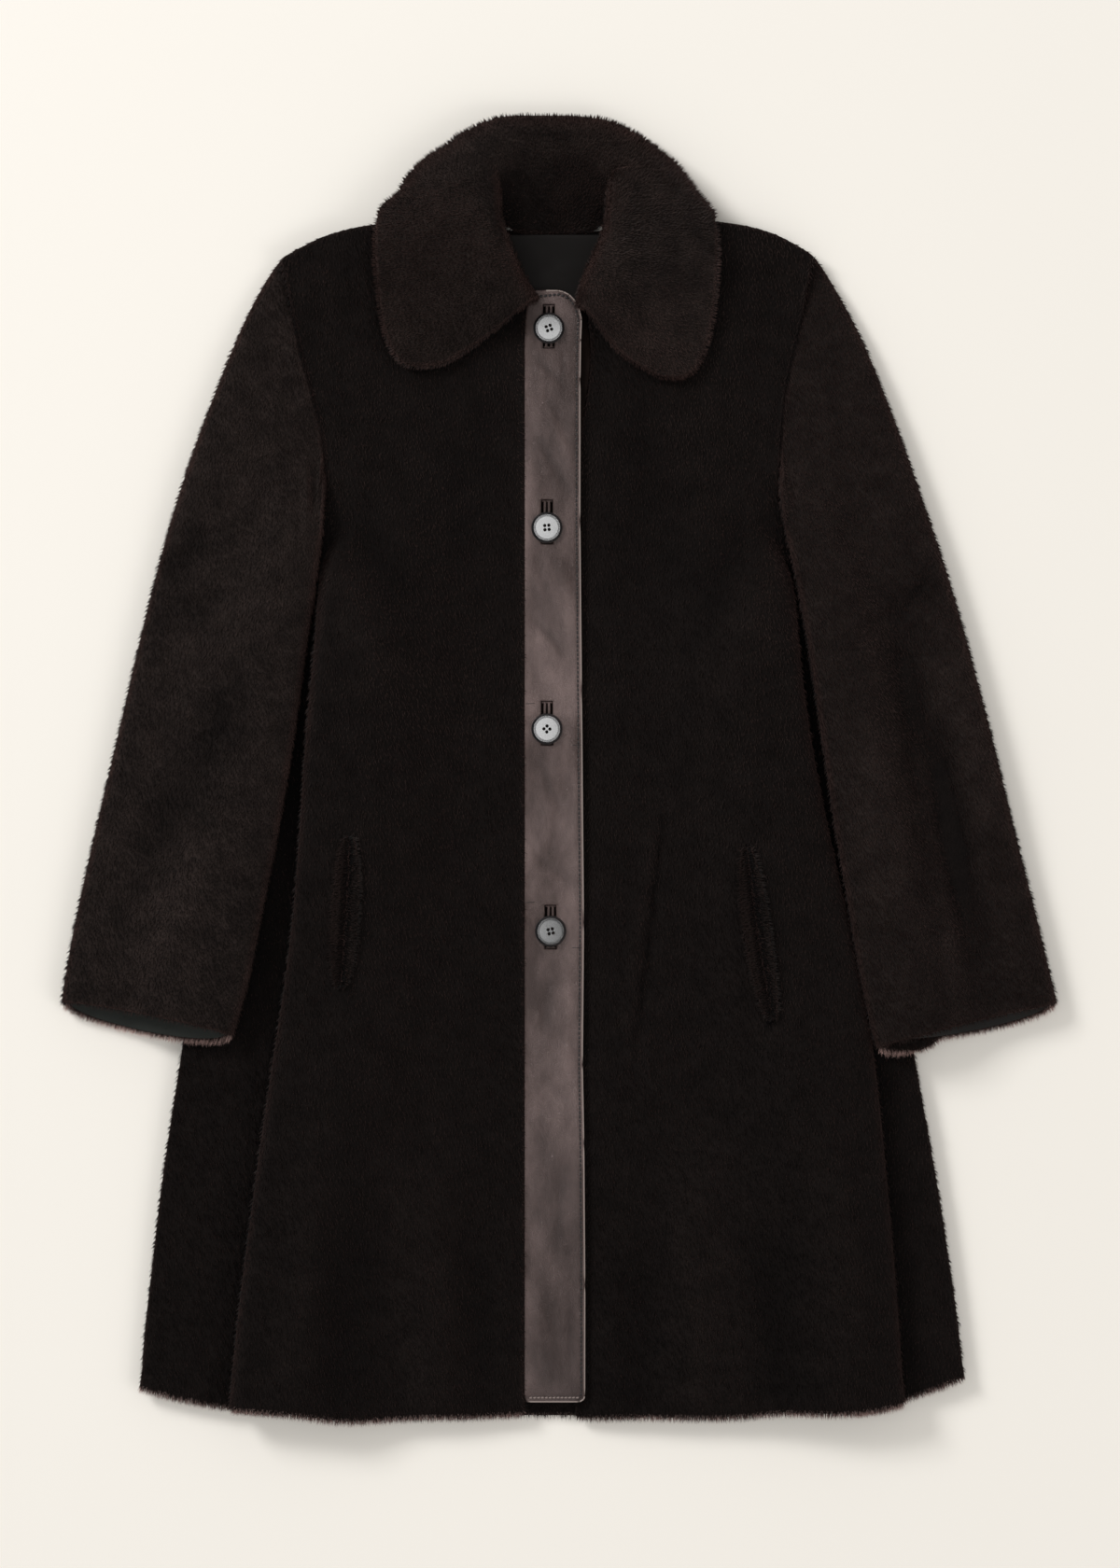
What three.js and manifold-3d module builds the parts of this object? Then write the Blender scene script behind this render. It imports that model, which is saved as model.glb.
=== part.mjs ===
// A sheared-fur coat, buttoned and laid flat on its back, its sleeves along its sides.
// Millimetres. +Z is up from the surface it lies on, +Y runs from hem to collar, +X is the viewer's right,
// which is the wearer's left. The origin is on that surface, under the middle of the coat.
import * as THREE from "three";
import { mergeVertices } from "three/addons/utils/BufferGeometryUtils.js";
import Module from "manifold-3d";

const wasm = await Module();
wasm.setup();

// Cloth, layer by layer
const GAP = 0.3; // clear distance between two pieces that touch
const FUR = 7; // skin and pile of the fronts, collar and welts
const BACK_FUR = 6; // the back, pressed by what lies on it
const SLEEVE_FUR = 6;
const LINING = 1;
const LEATHER = 3;
const FOLD_RADIUS = 4.1; // of the cloth's middle where a side folds over
const LIP_LENGTH = 24; // cloth tucked under each side fold
const FRONT_BASE = BACK_FUR + GAP; // underside of a front that lies on the back

// The collar's back fall is tucked under the neck and lifts what lies on it.
const MIDDLE_X = -5;
const NECK_LIFT = FUR + GAP;
const LIFT_RISE = { from: 372, to: 412 };
const LIFT_SPREAD = { from: 138, to: 190 };
const CLEAR_OF_BACK = 2.8;

const UNDERARM = { top: 221, clear: 199 }; // heights of the armhole's foot and of the flap below it

const COLOURS = {
  fur: 0x1b1613,
  furLow: 0x100e0d,
  collar: 0x211c1a,
  lining: 0x23211f,
  leather: 0x4e4442,
  button: 0x0b0a0a,
};

function smooth(from, to, value) {
  const t = THREE.MathUtils.clamp((value - from) / (to - from), 0, 1);
  return t * t * (3 - 2 * t);
}

function mix(a, b, t) {
  return a + (b - a) * t;
}

function neckLift(x, y) {
  const rise = smooth(LIFT_RISE.from, LIFT_RISE.to, y);
  const spread = 1 - smooth(LIFT_SPREAD.from, LIFT_SPREAD.to, Math.abs(x - MIDDLE_X));
  return NECK_LIFT * rise * spread;
}

// The fronts bulge a little clear of the back over that rise.
function frontLift(x, y) {
  return neckLift(x, y) + CLEAR_OF_BACK * smooth(340, 366, y);
}

// A table's column as a smooth function of the share t of the way down its rows.
function column(rows, name) {
  const valueAt = (k) => rows[THREE.MathUtils.clamp(k, 0, rows.length - 1)][name];
  return (t) => {
    const at = t * (rows.length - 1);
    const i = Math.min(Math.floor(at), rows.length - 2);
    const p = [i - 1, i, i + 1, i + 2].map(valueAt);
    const f = at - i;
    const m1 = slope(p[0], p[1], p[2]);
    const m2 = slope(p[1], p[2], p[3]);
    const f2 = f * f;
    const f3 = f2 * f;
    return (2 * f3 - 3 * f2 + 1) * p[1] + (f3 - 2 * f2 + f) * m1 + (3 * f2 - 2 * f3) * p[2] + (f3 - f2) * m2;
  };
}

// Half the rise over two steps, or none where the values turn back, so that a curve never overshoots.
function slope(before, here, after) {
  return (here - before) * (after - here) <= 0 ? 0 : (after - before) / 2;
}

// A value found from another column that rises or falls steadily, such as x at a given y.
function lookUp(rows, keyName, valueName, key) {
  const last = rows.length - 1;
  const up = rows[last][keyName] > rows[0][keyName];
  let i = 0;
  while (i < last - 1 && (up ? rows[i + 1][keyName] < key : rows[i + 1][keyName] > key)) i += 1;
  const t = (key - rows[i][keyName]) / (rows[i + 1][keyName] - rows[i][keyName]);
  return mix(rows[i][valueName], rows[i + 1][valueName], THREE.MathUtils.clamp(t, 0, 1));
}

// Triangles of a closed skin: two sheets of a grid, joined along their rims.
function closedSheets(top, bottom) {
  const rows = top.length;
  const cols = top[0].length;
  const positions = [...top.flat(), ...bottom.flat()].flatMap((p) => [p.x, p.y, p.z]);
  const lower = rows * cols;
  const at = (j, i) => j * cols + i;
  const faces = [];
  const quad = (a, b, c, d) => faces.push(a, b, c, a, c, d);
  for (let j = 0; j < rows - 1; j += 1) {
    for (let i = 0; i < cols - 1; i += 1) {
      quad(at(j, i), at(j, i + 1), at(j + 1, i + 1), at(j + 1, i));
      quad(lower + at(j, i), lower + at(j + 1, i), lower + at(j + 1, i + 1), lower + at(j, i + 1));
    }
  }
  for (let i = 0; i < cols - 1; i += 1) {
    quad(at(0, i), lower + at(0, i), lower + at(0, i + 1), at(0, i + 1));
    quad(at(rows - 1, i), at(rows - 1, i + 1), lower + at(rows - 1, i + 1), lower + at(rows - 1, i));
  }
  for (let j = 0; j < rows - 1; j += 1) {
    quad(at(j, 0), at(j + 1, 0), lower + at(j + 1, 0), lower + at(j, 0));
    quad(at(j, cols - 1), lower + at(j, cols - 1), lower + at(j + 1, cols - 1), at(j + 1, cols - 1));
  }
  return solidGeometry(positions, faces);
}

// Triangles of an open tube: an outer and an inner skin of closed rings, joined at both mouths.
function closedTube(outer, inner) {
  const rings = outer.length;
  const around = outer[0].length;
  const positions = [...outer.flat(), ...inner.flat()].flatMap((p) => [p.x, p.y, p.z]);
  const within = rings * around;
  const at = (j, i) => j * around + (i % around);
  const faces = [];
  const quad = (a, b, c, d) => faces.push(a, b, c, a, c, d);
  for (let i = 0; i < around; i += 1) {
    for (let j = 0; j < rings - 1; j += 1) {
      quad(at(j, i), at(j, i + 1), at(j + 1, i + 1), at(j + 1, i));
      quad(within + at(j, i), within + at(j + 1, i), within + at(j + 1, i + 1), within + at(j, i + 1));
    }
    quad(at(0, i), within + at(0, i), within + at(0, i + 1), at(0, i + 1));
    quad(at(rings - 1, i), at(rings - 1, i + 1), within + at(rings - 1, i + 1), within + at(rings - 1, i));
  }
  return solidGeometry(positions, faces);
}

// A geometry of these faces, turned outwards if their volume comes out negative.
function solidGeometry(positions, faces) {
  let volume = 0;
  const corner = (k) => new THREE.Vector3().fromArray(positions, faces[k] * 3);
  for (let k = 0; k < faces.length; k += 3) {
    volume += corner(k).dot(corner(k + 1).cross(corner(k + 2)));
  }
  const turned = volume < 0 ? faces.map((f, k) => faces[k + [0, 1, -1][k % 3]]) : faces;
  const geometry = new THREE.BufferGeometry();
  geometry.setAttribute("position", new THREE.Float32BufferAttribute(positions, 3));
  geometry.setIndex(turned);
  geometry.computeVertexNormals();
  return geometry;
}

// The normal of a grid of points at one of them, from its neighbours.
function gridNormal(grid, j, i) {
  const row = grid[j];
  const along = row[Math.min(i + 1, row.length - 1)].clone().sub(row[Math.max(i - 1, 0)]);
  const across = grid[Math.min(j + 1, grid.length - 1)][i].clone().sub(grid[Math.max(j - 1, 0)][i]);
  return along.cross(across).normalize();
}

// A wall of cloth round a grid of middle points, never lower than floorAt where that is given.
function wall(grid, thickness, floorAt) {
  const side = (sign) =>
    grid.map((row, j) =>
      row.map((p, i) => {
        const moved = p.clone().addScaledVector(gridNormal(grid, j, i), (sign * thickness(j, i)) / 2);
        if (floorAt) moved.z = Math.max(moved.z, floorAt(moved.x, moved.y));
        return moved;
      }),
    );
  return closedSheets(side(1), side(-1));
}

const coat = new THREE.Group();

function addPiece(name, geometry, colour, roughness, metalness = 0) {
  const material = new THREE.MeshStandardMaterial({ color: colour, roughness, metalness });
  const mesh = new THREE.Mesh(geometry, material);
  mesh.name = name;
  coat.add(mesh);
  return mesh;
}

// Hem line of the whole coat, from one side to the other.
const HEM = [
  { x: -324, y: -478 },
  { x: -308, y: -487 },
  { x: -265, y: -493 },
  { x: -236, y: -495 },
  { x: -193, y: -499 },
  { x: -164, y: -505 },
  { x: -121, y: -501 },
  { x: -50, y: -500 },
  { x: -26, y: -497 },
  { x: 18, y: -502 },
  { x: 66, y: -500 },
  { x: 138, y: -502 },
  { x: 167, y: -495 },
  { x: 210, y: -498 },
  { x: 252, y: -496 },
  { x: 268, y: -487 },
  { x: 296, y: -477 },
  { x: 314, y: -470 },
];

// Edges of each front, a row for each height from hem to shoulder. edge is the side at the button band and the
// neckline, fold is the visible side fold and above it the armhole, side is the side seam on the back's layer,
// and over is how far the cloth is folded over there, from 0, flat, to 1, under and out again.
const RIGHT_FRONT = [
  { edgeX: -26.7, edgeY: -496, foldX: -254, foldY: -491, sideX: -323, over: 1 },
  { edgeX: -26.7, edgeY: -440, foldX: -251, foldY: -440, sideX: -320, over: 1 },
  { edgeX: -26.7, edgeY: -375, foldX: -241, foldY: -375, sideX: -312, over: 1 },
  { edgeX: -26.7, edgeY: -300, foldX: -231, foldY: -300, sideX: -303, over: 1 },
  { edgeX: -26.7, edgeY: -220, foldX: -219, foldY: -220, sideX: -290, over: 1 },
  { edgeX: -26.7, edgeY: -140, foldX: -207, foldY: -140, sideX: -279, over: 1 },
  { edgeX: -26.7, edgeY: -60, foldX: -200, foldY: -60, sideX: -268, over: 1 },
  { edgeX: -26.7, edgeY: 20, foldX: -195, foldY: 20, sideX: -257, over: 0.96 },
  { edgeX: -26.7, edgeY: 90, foldX: -187, foldY: 90, sideX: -244, over: 0.8 },
  { edgeX: -26.7, edgeY: 140, foldX: -181, foldY: 140, sideX: -217, over: 0.5 },
  { edgeX: -26.7, edgeY: 180, foldX: -179, foldY: 178, sideX: -188, over: 0.12 },
  { edgeX: -26.7, edgeY: 214, foldX: -177, foldY: 206, sideX: -178, over: 0 },
  { edgeX: -26.7, edgeY: 240, foldX: -179, foldY: 226, sideX: -179, over: 0 },
  { edgeX: -26.7, edgeY: 270, foldX: -181, foldY: 250, sideX: -181, over: 0 },
  { edgeX: -26.7, edgeY: 300, foldX: -186, foldY: 275, sideX: -186, over: 0 },
  { edgeX: -26.7, edgeY: 330, foldX: -195, foldY: 305, sideX: -195, over: 0 },
  { edgeX: -26.7, edgeY: 354, foldX: -203, foldY: 340, sideX: -203, over: 0 },
  { edgeX: -37, edgeY: 388, foldX: -208, foldY: 369, sideX: -208, over: 0 },
  { edgeX: -60, edgeY: 421, foldX: -213.5, foldY: 391.5, sideX: -213.5, over: 0 },
];
const LEFT_FRONT = [
  { edgeX: 14, edgeY: -500, foldX: 267, foldY: -488, sideX: 313, over: 1 },
  { edgeX: 14, edgeY: -440, foldX: 264, foldY: -440, sideX: 310, over: 1 },
  { edgeX: 14, edgeY: -375, foldX: 258, foldY: -375, sideX: 300, over: 1 },
  { edgeX: 14, edgeY: -300, foldX: 251, foldY: -300, sideX: 288, over: 1 },
  { edgeX: 14, edgeY: -220, foldX: 243, foldY: -220, sideX: 273, over: 1 },
  { edgeX: 14, edgeY: -140, foldX: 229, foldY: -140, sideX: 262, over: 1 },
  { edgeX: 14, edgeY: -60, foldX: 210, foldY: -60, sideX: 250, over: 1 },
  { edgeX: 14, edgeY: 20, foldX: 194, foldY: 20, sideX: 239, over: 0.96 },
  { edgeX: 14, edgeY: 90, foldX: 184, foldY: 90, sideX: 226, over: 0.8 },
  { edgeX: 14, edgeY: 140, foldX: 178, foldY: 140, sideX: 204, over: 0.5 },
  { edgeX: 14, edgeY: 180, foldX: 172, foldY: 178, sideX: 180, over: 0.12 },
  { edgeX: 14, edgeY: 214, foldX: 168, foldY: 206, sideX: 168.5, over: 0 },
  { edgeX: 15, edgeY: 240, foldX: 170, foldY: 226, sideX: 170, over: 0 },
  { edgeX: 20, edgeY: 270, foldX: 171, foldY: 250, sideX: 171, over: 0 },
  { edgeX: 25, edgeY: 300, foldX: 173, foldY: 275, sideX: 173, over: 0 },
  { edgeX: 25.6, edgeY: 330, foldX: 177, foldY: 305, sideX: 177, over: 0 },
  { edgeX: 23, edgeY: 354, foldX: 186, foldY: 340, sideX: 186, over: 0 },
  { edgeX: 30, edgeY: 388, foldX: 191, foldY: 369, sideX: 191, over: 0 },
  { edgeX: 53, edgeY: 421, foldX: 196.2, foldY: 394, sideX: 196.2, over: 0 },
];

// How far a shoulder's line stands above the straight from neck to armhole, at a share of the way.
const SHOULDER_RISE = [
  { share: 0, rise: 0 },
  { share: 0.26, rise: 9 },
  { share: 0.52, rise: 12.5 },
  { share: 0.66, rise: 13.5 },
  { share: 0.8, rise: 11 },
  { share: 0.92, rise: 5.5 },
  { share: 1, rise: 0 },
];
const SHOULDER_REACH = 0.78; // share of the height from which the rows rise to it

const FRONT_ROWS = 27;
const NEAR_EDGE = [0, 8.5, 20]; // columns beside the button band, where the left front is shaved thin
const TOP_STEPS = 8; // from there across a front's visible layer
const ARC_STEPS = 4; // round each turn of the side fold
const FLAP_STEPS = 2;
const LEAST_FLAP = 6;
const RAMP = { flat: 38, rise: 95 }; // the visible layer climbs to its fold over rise, and is level over flat
const HEM_BLEND = 0.1; // share of the height over which rows turn to the hem line

// Soft folds that fan out at the hem of a front: where they lie across it and how high they stand.
const HEM_FOLDS = [
  { across: 0.3, width: 0.13, height: 3.5 },
  { across: 0.62, width: 0.12, height: 5 },
];
const HEM_FOLD_REACH = 0.42;

function hemFold(across, up) {
  const fade = 1 - smooth(0.03, HEM_FOLD_REACH, up);
  const swell = (fold) => fold.height * Math.exp(-(((across - fold.across) / fold.width) ** 2));
  return fade * HEM_FOLDS.reduce((sum, fold) => sum + swell(fold), 0);
}

// The way a front's cloth runs on from where its side fold starts: over, back under the lip, and out again.
function foldPath(over) {
  const path = [{ s: 0, z: 0 }];
  const walk = (length, angle) => {
    const last = path[path.length - 1];
    path.push({ s: last.s + length * Math.cos(angle), z: last.z - length * Math.sin(angle) });
  };
  const step = (Math.PI * FOLD_RADIUS) / ARC_STEPS;
  const turn = Math.PI * over;
  for (let i = 0; i < ARC_STEPS; i += 1) walk(step, (turn * (i + 0.5)) / ARC_STEPS);
  walk(Math.max(LIP_LENGTH * smooth(0.6, 1, over), 1), turn);
  for (let i = 0; i < ARC_STEPS; i += 1) walk(step, turn * (1 - (i + 0.5) / ARC_STEPS));
  return path;
}

// One row of a front's middle surface, in plan from its edge to its side.
function frontRow(edges, up, edgeThickness) {
  const at = (name) => column(edges, name)(up);
  const start = new THREE.Vector2(at("edgeX"), at("edgeY"));
  const direction = new THREE.Vector2(at("foldX"), at("foldY")).sub(start);
  const foldAt = direction.length();
  direction.normalize();
  const sideAt = (at("sideX") - start.x) / direction.x;
  const path = foldPath(at("over"));
  const end = path[path.length - 1];
  const turnAt = Math.min(foldAt - FOLD_RADIUS - FUR / 2, sideAt - end.s - LEAST_FLAP);
  const climb = -end.z;
  const flatFrom = turnAt - RAMP.flat;
  const riseFrom = Math.max(flatFrom - RAMP.rise, flatFrom * 0.3);
  const full = NEAR_EDGE[NEAR_EDGE.length - 1];
  const spread = Array.from({ length: TOP_STEPS - 1 }, (_, i) => mix(full, turnAt, (i + 1) / TOP_STEPS));
  const row = [];
  for (const s of [...NEAR_EDGE, ...spread]) {
    const lift = climb * smooth(riseFrom, flatFrom, s) + hemFold(s / foldAt, up) * smooth(0, 40, s);
    row.push({ s, z: edgeThickness(s) / 2 + lift * smooth(0, 30, turnAt - s + 30) });
  }
  for (const p of path) row.push({ s: turnAt + p.s, z: FUR / 2 + climb + p.z });
  for (let i = 1; i <= FLAP_STEPS; i += 1) {
    row.push({ s: mix(turnAt + end.s, sideAt, i / FLAP_STEPS), z: FUR / 2 });
  }
  return row.map((p) => {
    const x = start.x + direction.x * p.s;
    const along = start.y + direction.y * p.s;
    const rise = lookUp(SHOULDER_RISE, "share", "rise", p.s / foldAt) * smooth(SHOULDER_REACH, 1, up);
    const y = mix(lookUp(HEM, "x", "y", x), along + rise, smooth(0, HEM_BLEND, up));
    return new THREE.Vector3(x, y, FRONT_BASE + frontLift(x, y) + p.z);
  });
}

function frontGrid(edges, edgeThickness) {
  return Array.from({ length: FRONT_ROWS }, (_, j) => frontRow(edges, j / (FRONT_ROWS - 1), edgeThickness));
}

// The left front is shaved thin where it runs under the button band.
const fullFur = () => FUR;
const shavedEdge = (s) => mix(LEATHER, FUR, smooth(NEAR_EDGE[1] + 0.1, NEAR_EDGE[2], s));

function frontWall(grid, edgeThickness) {
  const fromEdge = (j, i) => Math.hypot(grid[j][i].x - grid[j][0].x, grid[j][i].y - grid[j][0].y);
  const thickness = (j, i) => edgeThickness(fromEdge(j, i));
  return wall(grid, thickness, (x, y) => FRONT_BASE + frontLift(x, y));
}

const rightFront = frontGrid(RIGHT_FRONT, fullFur);
const leftFront = frontGrid(LEFT_FRONT, shavedEdge);
addPiece("front_right", frontWall(rightFront, fullFur), COLOURS.fur, 0.95);
addPiece("front_left", frontWall(leftFront, shavedEdge), COLOURS.furLow, 0.95);

// The back: one cut from side seam to side seam, its top edge along the shoulders and the back neckline.
const BACK_TOP = [
  { x: -213.5, y: 391.5 },
  { x: -188, y: 406 },
  { x: -163, y: 414 },
  { x: -138, y: 418 },
  { x: -110, y: 421.5 },
  { x: -60, y: 421 },
  { x: -39, y: 412 },
  { x: -2, y: 411.5 },
  { x: 34, y: 412 },
  { x: 53, y: 421 },
  { x: 100, y: 422 },
  { x: 128, y: 419 },
  { x: 152, y: 415.5 },
  { x: 174, y: 408 },
  { x: 196.2, y: 394 },
];
const BACK_ROWS = 22;
const ARMHOLE_SEAM = 1.3; // the chords of an armhole's curve stay this far apart on its two sides

function backSide(edges, up) {
  const guess = mix(HEM[0].y, BACK_TOP[0].y, up);
  const x = lookUp(edges, "foldY", "sideX", guess);
  const y = mix(lookUp(HEM, "x", "y", x), lookUp(BACK_TOP, "x", "y", x), up);
  const side = lookUp(edges, "foldY", "sideX", y);
  return side - Math.sign(side) * ARMHOLE_SEAM * smooth(UNDERARM.clear, UNDERARM.top, y);
}

function backGrid() {
  const first = BACK_TOP[0].x;
  const width = BACK_TOP[BACK_TOP.length - 1].x - first;
  return Array.from({ length: BACK_ROWS }, (_, j) => {
    const up = j / (BACK_ROWS - 1);
    const from = backSide(RIGHT_FRONT, up);
    const to = backSide(LEFT_FRONT, up);
    return BACK_TOP.map((top) => {
      const x = mix(from, to, (top.x - first) / width);
      const y = mix(lookUp(HEM, "x", "y", x), lookUp(BACK_TOP, "x", "y", x), up);
      return new THREE.Vector3(x, y, BACK_FUR / 2 + neckLift(x, y));
    });
  });
}

// A wall of level cloth: thick straight up and down, so that its underside is flat where it rests.
function levelWall(grid, thickness) {
  const moved = (dz) => grid.map((row) => row.map((p) => new THREE.Vector3(p.x, p.y, p.z + dz)));
  return closedSheets(moved(thickness / 2), moved(-thickness / 2));
}

addPiece("back", levelWall(backGrid(), BACK_FUR), COLOURS.furLow, 0.95);

// Sleeves, a row for each section from the armhole to the cuff: outer and inner are its two edges in plan, deep
// is its height through both layers, and crease is how deep the fold along it sinks.
const RIGHT_SLEEVE = [
  { outerX: -213.8, outerY: 391.5, innerX: -179.3, innerY: 223, deep: 13.4, crease: 0 },
  { outerX: -235, outerY: 361, innerX: -181.6, innerY: 197, deep: 17, crease: 0 },
  { outerX: -251, outerY: 325, innerX: -183, innerY: 174, deep: 20, crease: 0 },
  { outerX: -265, outerY: 289, innerX: -187, innerY: 149, deep: 22, crease: 1 },
  { outerX: -279, outerY: 253, innerX: -190, innerY: 122, deep: 23, crease: 2 },
  { outerX: -292, outerY: 214, innerX: -195, innerY: 90, deep: 24, crease: 3 },
  { outerX: -304, outerY: 174, innerX: -200, innerY: 50, deep: 24, crease: 3 },
  { outerX: -317, outerY: 124, innerX: -206, innerY: 10, deep: 24, crease: 2 },
  { outerX: -329, outerY: 73, innerX: -213, innerY: -32, deep: 24, crease: 2 },
  { outerX: -342, outerY: 16, innerX: -220, innerY: -70, deep: 24, crease: 3 },
  { outerX: -356, outerY: -42, innerX: -227, innerY: -104, deep: 24, crease: 3 },
  { outerX: -369, outerY: -99, innerX: -234, innerY: -141, deep: 24, crease: 2 },
  { outerX: -378, outerY: -143, innerX: -241, innerY: -174, deep: 24, crease: 1 },
  { outerX: -384, outerY: -181.4, innerX: -251, innerY: -207, deep: 23, crease: 0 },
];
const LEFT_SLEEVE = [
  { outerX: 196.5, outerY: 394, innerX: 170.3, innerY: 223, deep: 13.4, crease: 0 },
  { outerX: 219, outerY: 361, innerX: 172.4, innerY: 197, deep: 17, crease: 0 },
  { outerX: 237, outerY: 325, innerX: 177, innerY: 174, deep: 20, crease: 1 },
  { outerX: 251, outerY: 289, innerX: 183, innerY: 149, deep: 22, crease: 3 },
  { outerX: 265, outerY: 253, innerX: 188, innerY: 122, deep: 24, crease: 4 },
  { outerX: 278, outerY: 214, innerX: 193, innerY: 90, deep: 25, crease: 5 },
  { outerX: 292, outerY: 174, innerX: 199, innerY: 50, deep: 25, crease: 6 },
  { outerX: 308, outerY: 124, innerX: 205, innerY: 10, deep: 25, crease: 6 },
  { outerX: 321.5, outerY: 73, innerX: 210.6, innerY: -30, deep: 25, crease: 6 },
  { outerX: 336.6, outerY: 16, innerX: 217, innerY: -70, deep: 25, crease: 6 },
  { outerX: 350, outerY: -42, innerX: 223, innerY: -104, deep: 25, crease: 5 },
  { outerX: 365, outerY: -99, innerX: 229, innerY: -141, deep: 24, crease: 4 },
  { outerX: 375.5, outerY: -143, innerX: 234.4, innerY: -174, deep: 24, crease: 2 },
  { outerX: 385, outerY: -182, innerX: 245, innerY: -207, deep: 23, crease: 0 },
];
const SLEEVE_AROUND = 24;
const SLEEVE_REST = FRONT_BASE + FUR + GAP; // on the front's lower layer, and outside that on the floor
const REST_SPREAD = { from: 8, to: 58 };
const CREASE = { across: 0.48, width: 0.13 };
const CUFF_ROWS = 2; // sections over which the cuff's curve fades out
const CUFF_CURVE = { lower: -10, upper: 4 }; // the lower layer shows below the upper one

// Height of what a sleeve lies on.
function sleeveRest(x, y, edges) {
  const beyond = Math.abs(x) - Math.abs(lookUp(edges, "foldY", "sideX", y));
  const besideArmhole = smooth(UNDERARM.top, UNDERARM.clear, y);
  return SLEEVE_REST * besideArmhole * (1 - smooth(REST_SPREAD.from, REST_SPREAD.to, beyond));
}

// One ring of a sleeve, inset from its outside by this much.
function sleeveRing(rows, edges, j, inset) {
  const row = rows[j];
  const outer = new THREE.Vector2(row.outerX, row.outerY);
  const inner = new THREE.Vector2(row.innerX, row.innerY);
  const inward = inner.clone().sub(outer).normalize().multiplyScalar(inset);
  outer.add(inward);
  inner.sub(inward);
  const atCuff = Math.max(0, 1 - (rows.length - 1 - j) / CUFF_ROWS);
  return Array.from({ length: SLEEVE_AROUND }, (_, i) => {
    const angle = (2 * Math.PI * i) / SLEEVE_AROUND;
    const across = (1 - Math.cos(angle)) / 2;
    const side = Math.sin(angle);
    const p = outer.clone().lerp(inner, across);
    if (j === 0) p.x = lookUp(edges, "foldY", "sideX", p.y) + Math.sign(row.outerX) * ARMHOLE_SEAM;
    const rest = sleeveRest(p.x, p.y, edges);
    const sunk = row.crease * Math.exp(-(((across - CREASE.across) / CREASE.width) ** 2));
    const half = row.deep / 2 - inset;
    const rise = Math.sign(side) * Math.sqrt(Math.abs(side)) * half;
    const curve = side < 0 ? CUFF_CURVE.lower : CUFF_CURVE.upper;
    const y = p.y + atCuff * curve * Math.abs(side);
    return new THREE.Vector3(p.x, y, rest + row.deep / 2 + rise - (side > 0 ? sunk : 0));
  });
}

function sleeveTube(rows, edges, inset, thickness, firstRow) {
  const stations = rows.map((_, j) => j).filter((j) => j >= firstRow);
  const skin = (depth) => stations.map((j) => sleeveRing(rows, edges, j, depth));
  return closedTube(skin(inset), skin(inset + thickness));
}

const LINING_FROM = 11; // the lining shows in the cuff from this section on
for (const [side, rows, edges] of [["right", RIGHT_SLEEVE, RIGHT_FRONT], ["left", LEFT_SLEEVE, LEFT_FRONT]]) {
  addPiece("sleeve_" + side, sleeveTube(rows, edges, 0, SLEEVE_FUR, 0), COLOURS.fur, 0.95);
  const lining = sleeveTube(rows, edges, SLEEVE_FUR + GAP, LINING, LINING_FROM);
  addPiece("cuff_lining_" + side, lining, COLOURS.lining, 0.45);
}

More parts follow.
